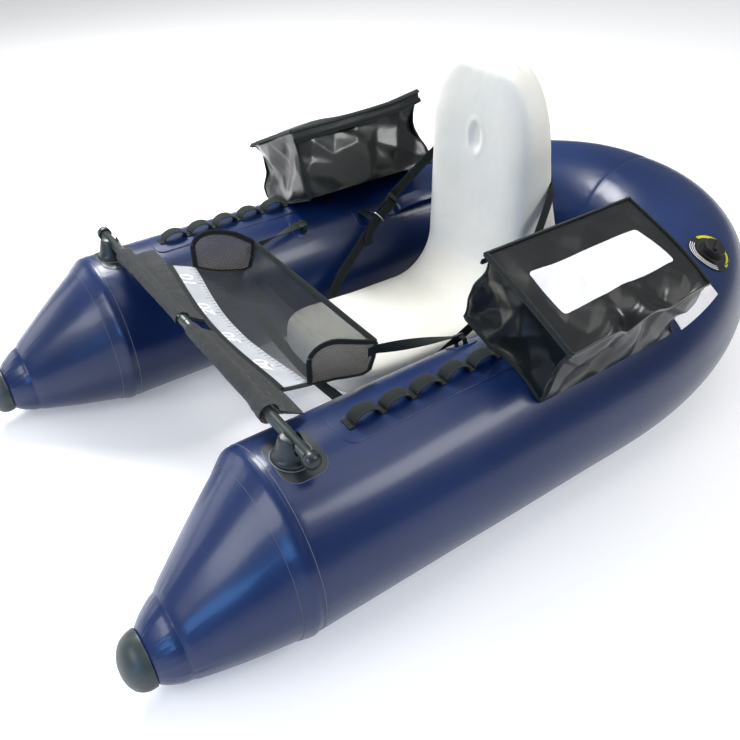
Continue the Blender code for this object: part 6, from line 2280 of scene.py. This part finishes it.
        def weave(share: float, stop: float) -> tuple[float, float]:
            """Metres across and along."""
            point = spot(share, stop)
            return point.y, point.z

        item = Bench.sheet(f"gusset_net_{word}", 60, shares(14), spot, weave=weave)
        Bench.thicken(item, 0.0010)
        Bench.dress(item, Finishes.GUSSET_NET, "apron", angle=60)
        self.gusset_area(side)

    def gusset_area(self, side: int) -> float:
        """Flat area of a gusset.

        Args:
            side: 1 for left, -1 for right.

        Returns:
            The area in square metres.
        """
        area = 0.0
        for step in range(60):
            a, b = step / 60, (step + 1) / 60
            low, high = self.cloth(side * self.half, 1 + 6 * a), self.cloth(side * self.half, 1 + 6 * b)
            top, over = self.arch(side, a), self.arch(side, b)
            area += ((over - low).cross(top - high)).length / 2
        whole = self.gusset_flat[0] * self.gusset_flat[1]
        return max(min(area, whole), 0.3 * whole)

    def band_point(self, x: float, y: float, above: float) -> Vector:
        """A point over the band: y runs from -1 at the strip's bow edge to 1 at its stern edge.

        Args:
            x: across the boat.
            y: share of the strip's half width.
            above: height over the net.

        Returns:
            The point.
        """
        along = 0.5 + y * 0.5 * self.strip_width / 0.0545
        point = self.cloth(x, along)
        ahead = self.cloth(x, along + 0.1) - self.cloth(x, along - 0.1 if along > 0.1 else 0.0)
        side = self.cloth(min(x + 0.01, self.half), along) - self.cloth(max(x - 0.01, -self.half), along)
        return point + side.cross(ahead).normalized() * above

    def strip(self) -> None:
        """Measuring strip with ticks and plain numbers."""
        def spot(share: float, stop: float) -> Vector:
            """A point of the strip."""
            x = self.strip_half * (2 * share - 1)
            ripple = 0.0006 * noise.noise(Vector((x * 30, stop, 0)))
            return self.band_point(x, stop, 0.0016 + ripple)

        item = Bench.sheet("strip_tape", 120, [2 * share - 1 for share in shares(12)], spot)
        Bench.thicken(item, 0.0008)
        Bench.dress(item, Finishes.STRIP, "apron", "measuring_strip")
        ticks = []
        for index in range(43):
            x = -0.21 + 0.01 * index
            reach = 0.55 if index % 5 == 1 else 0.28
            ticks.append(self.mark(f"tick_{index}", x - self.tick_half, x + self.tick_half,
                                   self.tick_end - reach, self.tick_end))
        Bench.dress(Bench.join(ticks, "strip_ticks"), Finishes.MARKS, "apron", angle=0)
        numbers = [self.number(str(10 * count), -0.16 + 0.1 * (count - 1)) for count in range(1, 5)]
        Bench.dress(Bench.join(numbers, "strip_numbers"), Finishes.NUMERALS, "apron", angle=0)

    def mark(self, name: str, low: float, high: float, first: float, last: float) -> Piece:
        """One printed tick."""
        def spot(share: float, stop: float) -> Vector:
            """A point of the tick."""
            return self.band_point(low + (high - low) * share, first + (last - first) * stop, 0.00235)
        return Bench.sheet(name, 1, [0.0, 1.0], spot)

    def number(self, text: str, x: float) -> Piece:
        """One printed number, bent to the strip.

        Args:
            text: its figures.
            x: where its middle stands.

        Returns:
            The number.
        """
        Bench.clear()
        bpy.ops.object.text_add()
        item = bpy.context.object
        item.data.body = text
        item.data.size = self.figure_size
        item.data.offset = 0.0006
        item.data.align_x = "CENTER"
        item.data.align_y = "CENTER"
        bpy.ops.object.convert(target="MESH")
        item = bpy.context.object
        item.name = f"number_{text}"
        for vertex in item.data.vertices:
            flat = vertex.co.copy()
            vertex.co = self.band_point(x - flat.x, -0.30 - flat.y / self.strip_width * 2, 0.00245)
        return item

    def bindings(self) -> None:
        """Tape along every free edge."""
        spread = [self.half * (2 * share - 1) for share in shares(48)]
        edges = []
        for side, word in SIDES:
            x = side * self.half
            edges += [(f"arch_{word}", 0.011, (0, 0.35, 0.94),
                       [self.arch(side, share) for share in shares(40)]),
                      (f"foot_{word}", 0.0060, (0, 0.3, 0.95),
                       [self.cloth(x, 1 + 6 * share) for share in shares(40)]),
                      (f"post_{word}", 0.010, AFT, [self.cloth(x, 5 + 2 * share) for share in shares(16)]),
                      (f"end_{word}", 0.009, ACROSS, [self.cloth(x, share) for share in shares(8)])]
        edges += [("rim", 0.0130, (0, 0.25, 1), [self.cloth(x, 7.0) for x in spread]),
                  ("hem", 0.0100, AFT, [self.cloth(x, 0.02) + UP * 0.0022 for x in spread])]
        tapes = [strap(name, [(point, Vector(across)) for point in points], width, 0.0026, 1)
                 for name, width, across, points in edges]
        Bench.dress(Bench.join(tapes, "net_binding"), Finishes.BINDING, "apron")

    def corner_strap(self, side: int, word: str) -> None:
        """Narrow twisted web with a flat moulded hook.

        Args:
            side: 1 for left, -1 for right.
            word: the side's name.
        """
        web = strap(f"corner_web_{word}", self.twisted(side), self.strap_width, 0.0016, 3)
        Bench.dress(web, Finishes.WEB, "apron", f"apron_strap_{word}")
        place = self.hook_frame(side)
        plate = Bench.block(f"hook_plate_{word}", (0.0240, 0.0025, 0.0140),
                            place @ Matrix.Translation((-0.0043, 0.0024, 0)), 0.0008, 2)
        leg = Bench.block(f"hook_leg_{word}", (0.0025, 0.0110, 0.0140),
                          place @ Matrix.Translation((0.00655, -0.0018, 0)), 0.0008, 2)
        item = Bench.join([plate, leg], f"corner_hook_{word}")
        Bench.dress(item, Finishes.NYLON, "apron", angle=40)

    def twisted(self, side: int) -> list[Station]:
        """The corner strap's stations, with a half turn between the pouch's corner and the hook.

        Args:
            side: 1 for left, -1 for right.

        Returns:
            The stations.
        """
        corner = Vector((side * self.corner[0], *self.corner[1:]))
        place = self.hook_frame(side)
        end = place @ Vector(self.strap_end)
        axis = (end - corner).normalized()
        first = (UP - axis * UP.dot(axis)).normalized()
        other = axis.cross(first)
        last = place.to_3x3() @ Vector((0, 0, -side))
        angle = atan2(last.dot(other), last.dot(first))
        stations = [(corner - AFT * self.strap_width, UP), (corner, UP)]
        for step in range(1, 11):
            turn = angle * step / 10
            stations.append((corner.lerp(end, step / 10), first * cos(turn) + other * sin(turn)))
        return stations

    def hook_frame(self, side: int) -> Matrix:
        """Top of the loop on the tube: X aft, Y out of the tube."""
        top, normal, heading = FORM.on(self.hook_aft, self.hook_lean, side, self.loop_rise)
        return frame_of(top, heading, heading.cross(normal))

    def anchor(self, side: int, word: str) -> None:
        """Patch with its short upright loop of web.

        Args:
            side: 1 for left, -1 for right.
            word: the side's name.
        """
        WeldedPatch(f"loop_patch_{word}", self.hook_aft, self.hook_lean, side, 0.046, 0.046, 0.0115,
                    stands_for=(f"apron_anchor_{word}",)).build()
        stations = []
        for spread, rise in ((-1, 0.05), (-1, 0.35), (-1, 0.667), (-0.5, 1),
                             (0.5, 1), (1, 0.667), (1, 0.35), (1, 0.05)):
            lean = self.hook_lean + self.loop_half * spread
            stations.append((FORM.on(self.hook_aft, lean, side, self.loop_rise * rise)[0], AFT))
        item = strap(f"loop_web_{word}", stations, 0.010, 0.0015, 3)
        Bench.dress(item, Finishes.WEB, "hull")


ASSEMBLIES = (Hull, BarAndClips, Rails, Seat, Harness, Handles, Valves, SideBags, Apron)


def dress_cad() -> None:
    """Gives every CAD node that stays in view its finish."""
    by_slot = {"navy_pvc": Finishes.NAVY, "nose_rubber": Finishes.RUBBER, "patch_pvc": Finishes.PATCH,
               "nylon": Finishes.NYLON, "black_webbing": Finishes.WEB, "black_tarpaulin": Finishes.TARP,
               "white_foam": Finishes.FOAM, "black_mesh": Finishes.NET, "strip_white": Finishes.STRIP,
               "bar_metal": Finishes.BAR, "nickel_wire": Finishes.NICKEL, "valve_plastic": Finishes.VALVE}
    for part in frame["record"]["subparts"]:
        mesh = frame["nodes"][part["node"]].data
        mesh.materials.clear()
        mesh.materials.append(by_slot[part["material_slot"]].material)


def main() -> None:
    """Builds the boat and the studio."""
    logging.basicConfig(level=logging.INFO)
    dress_cad()
    Studio().build()
    for assembly in ASSEMBLIES:
        LOG.info("building %s", assembly.__name__)
        assembly().build()


if __name__ == "__main__":
    main()
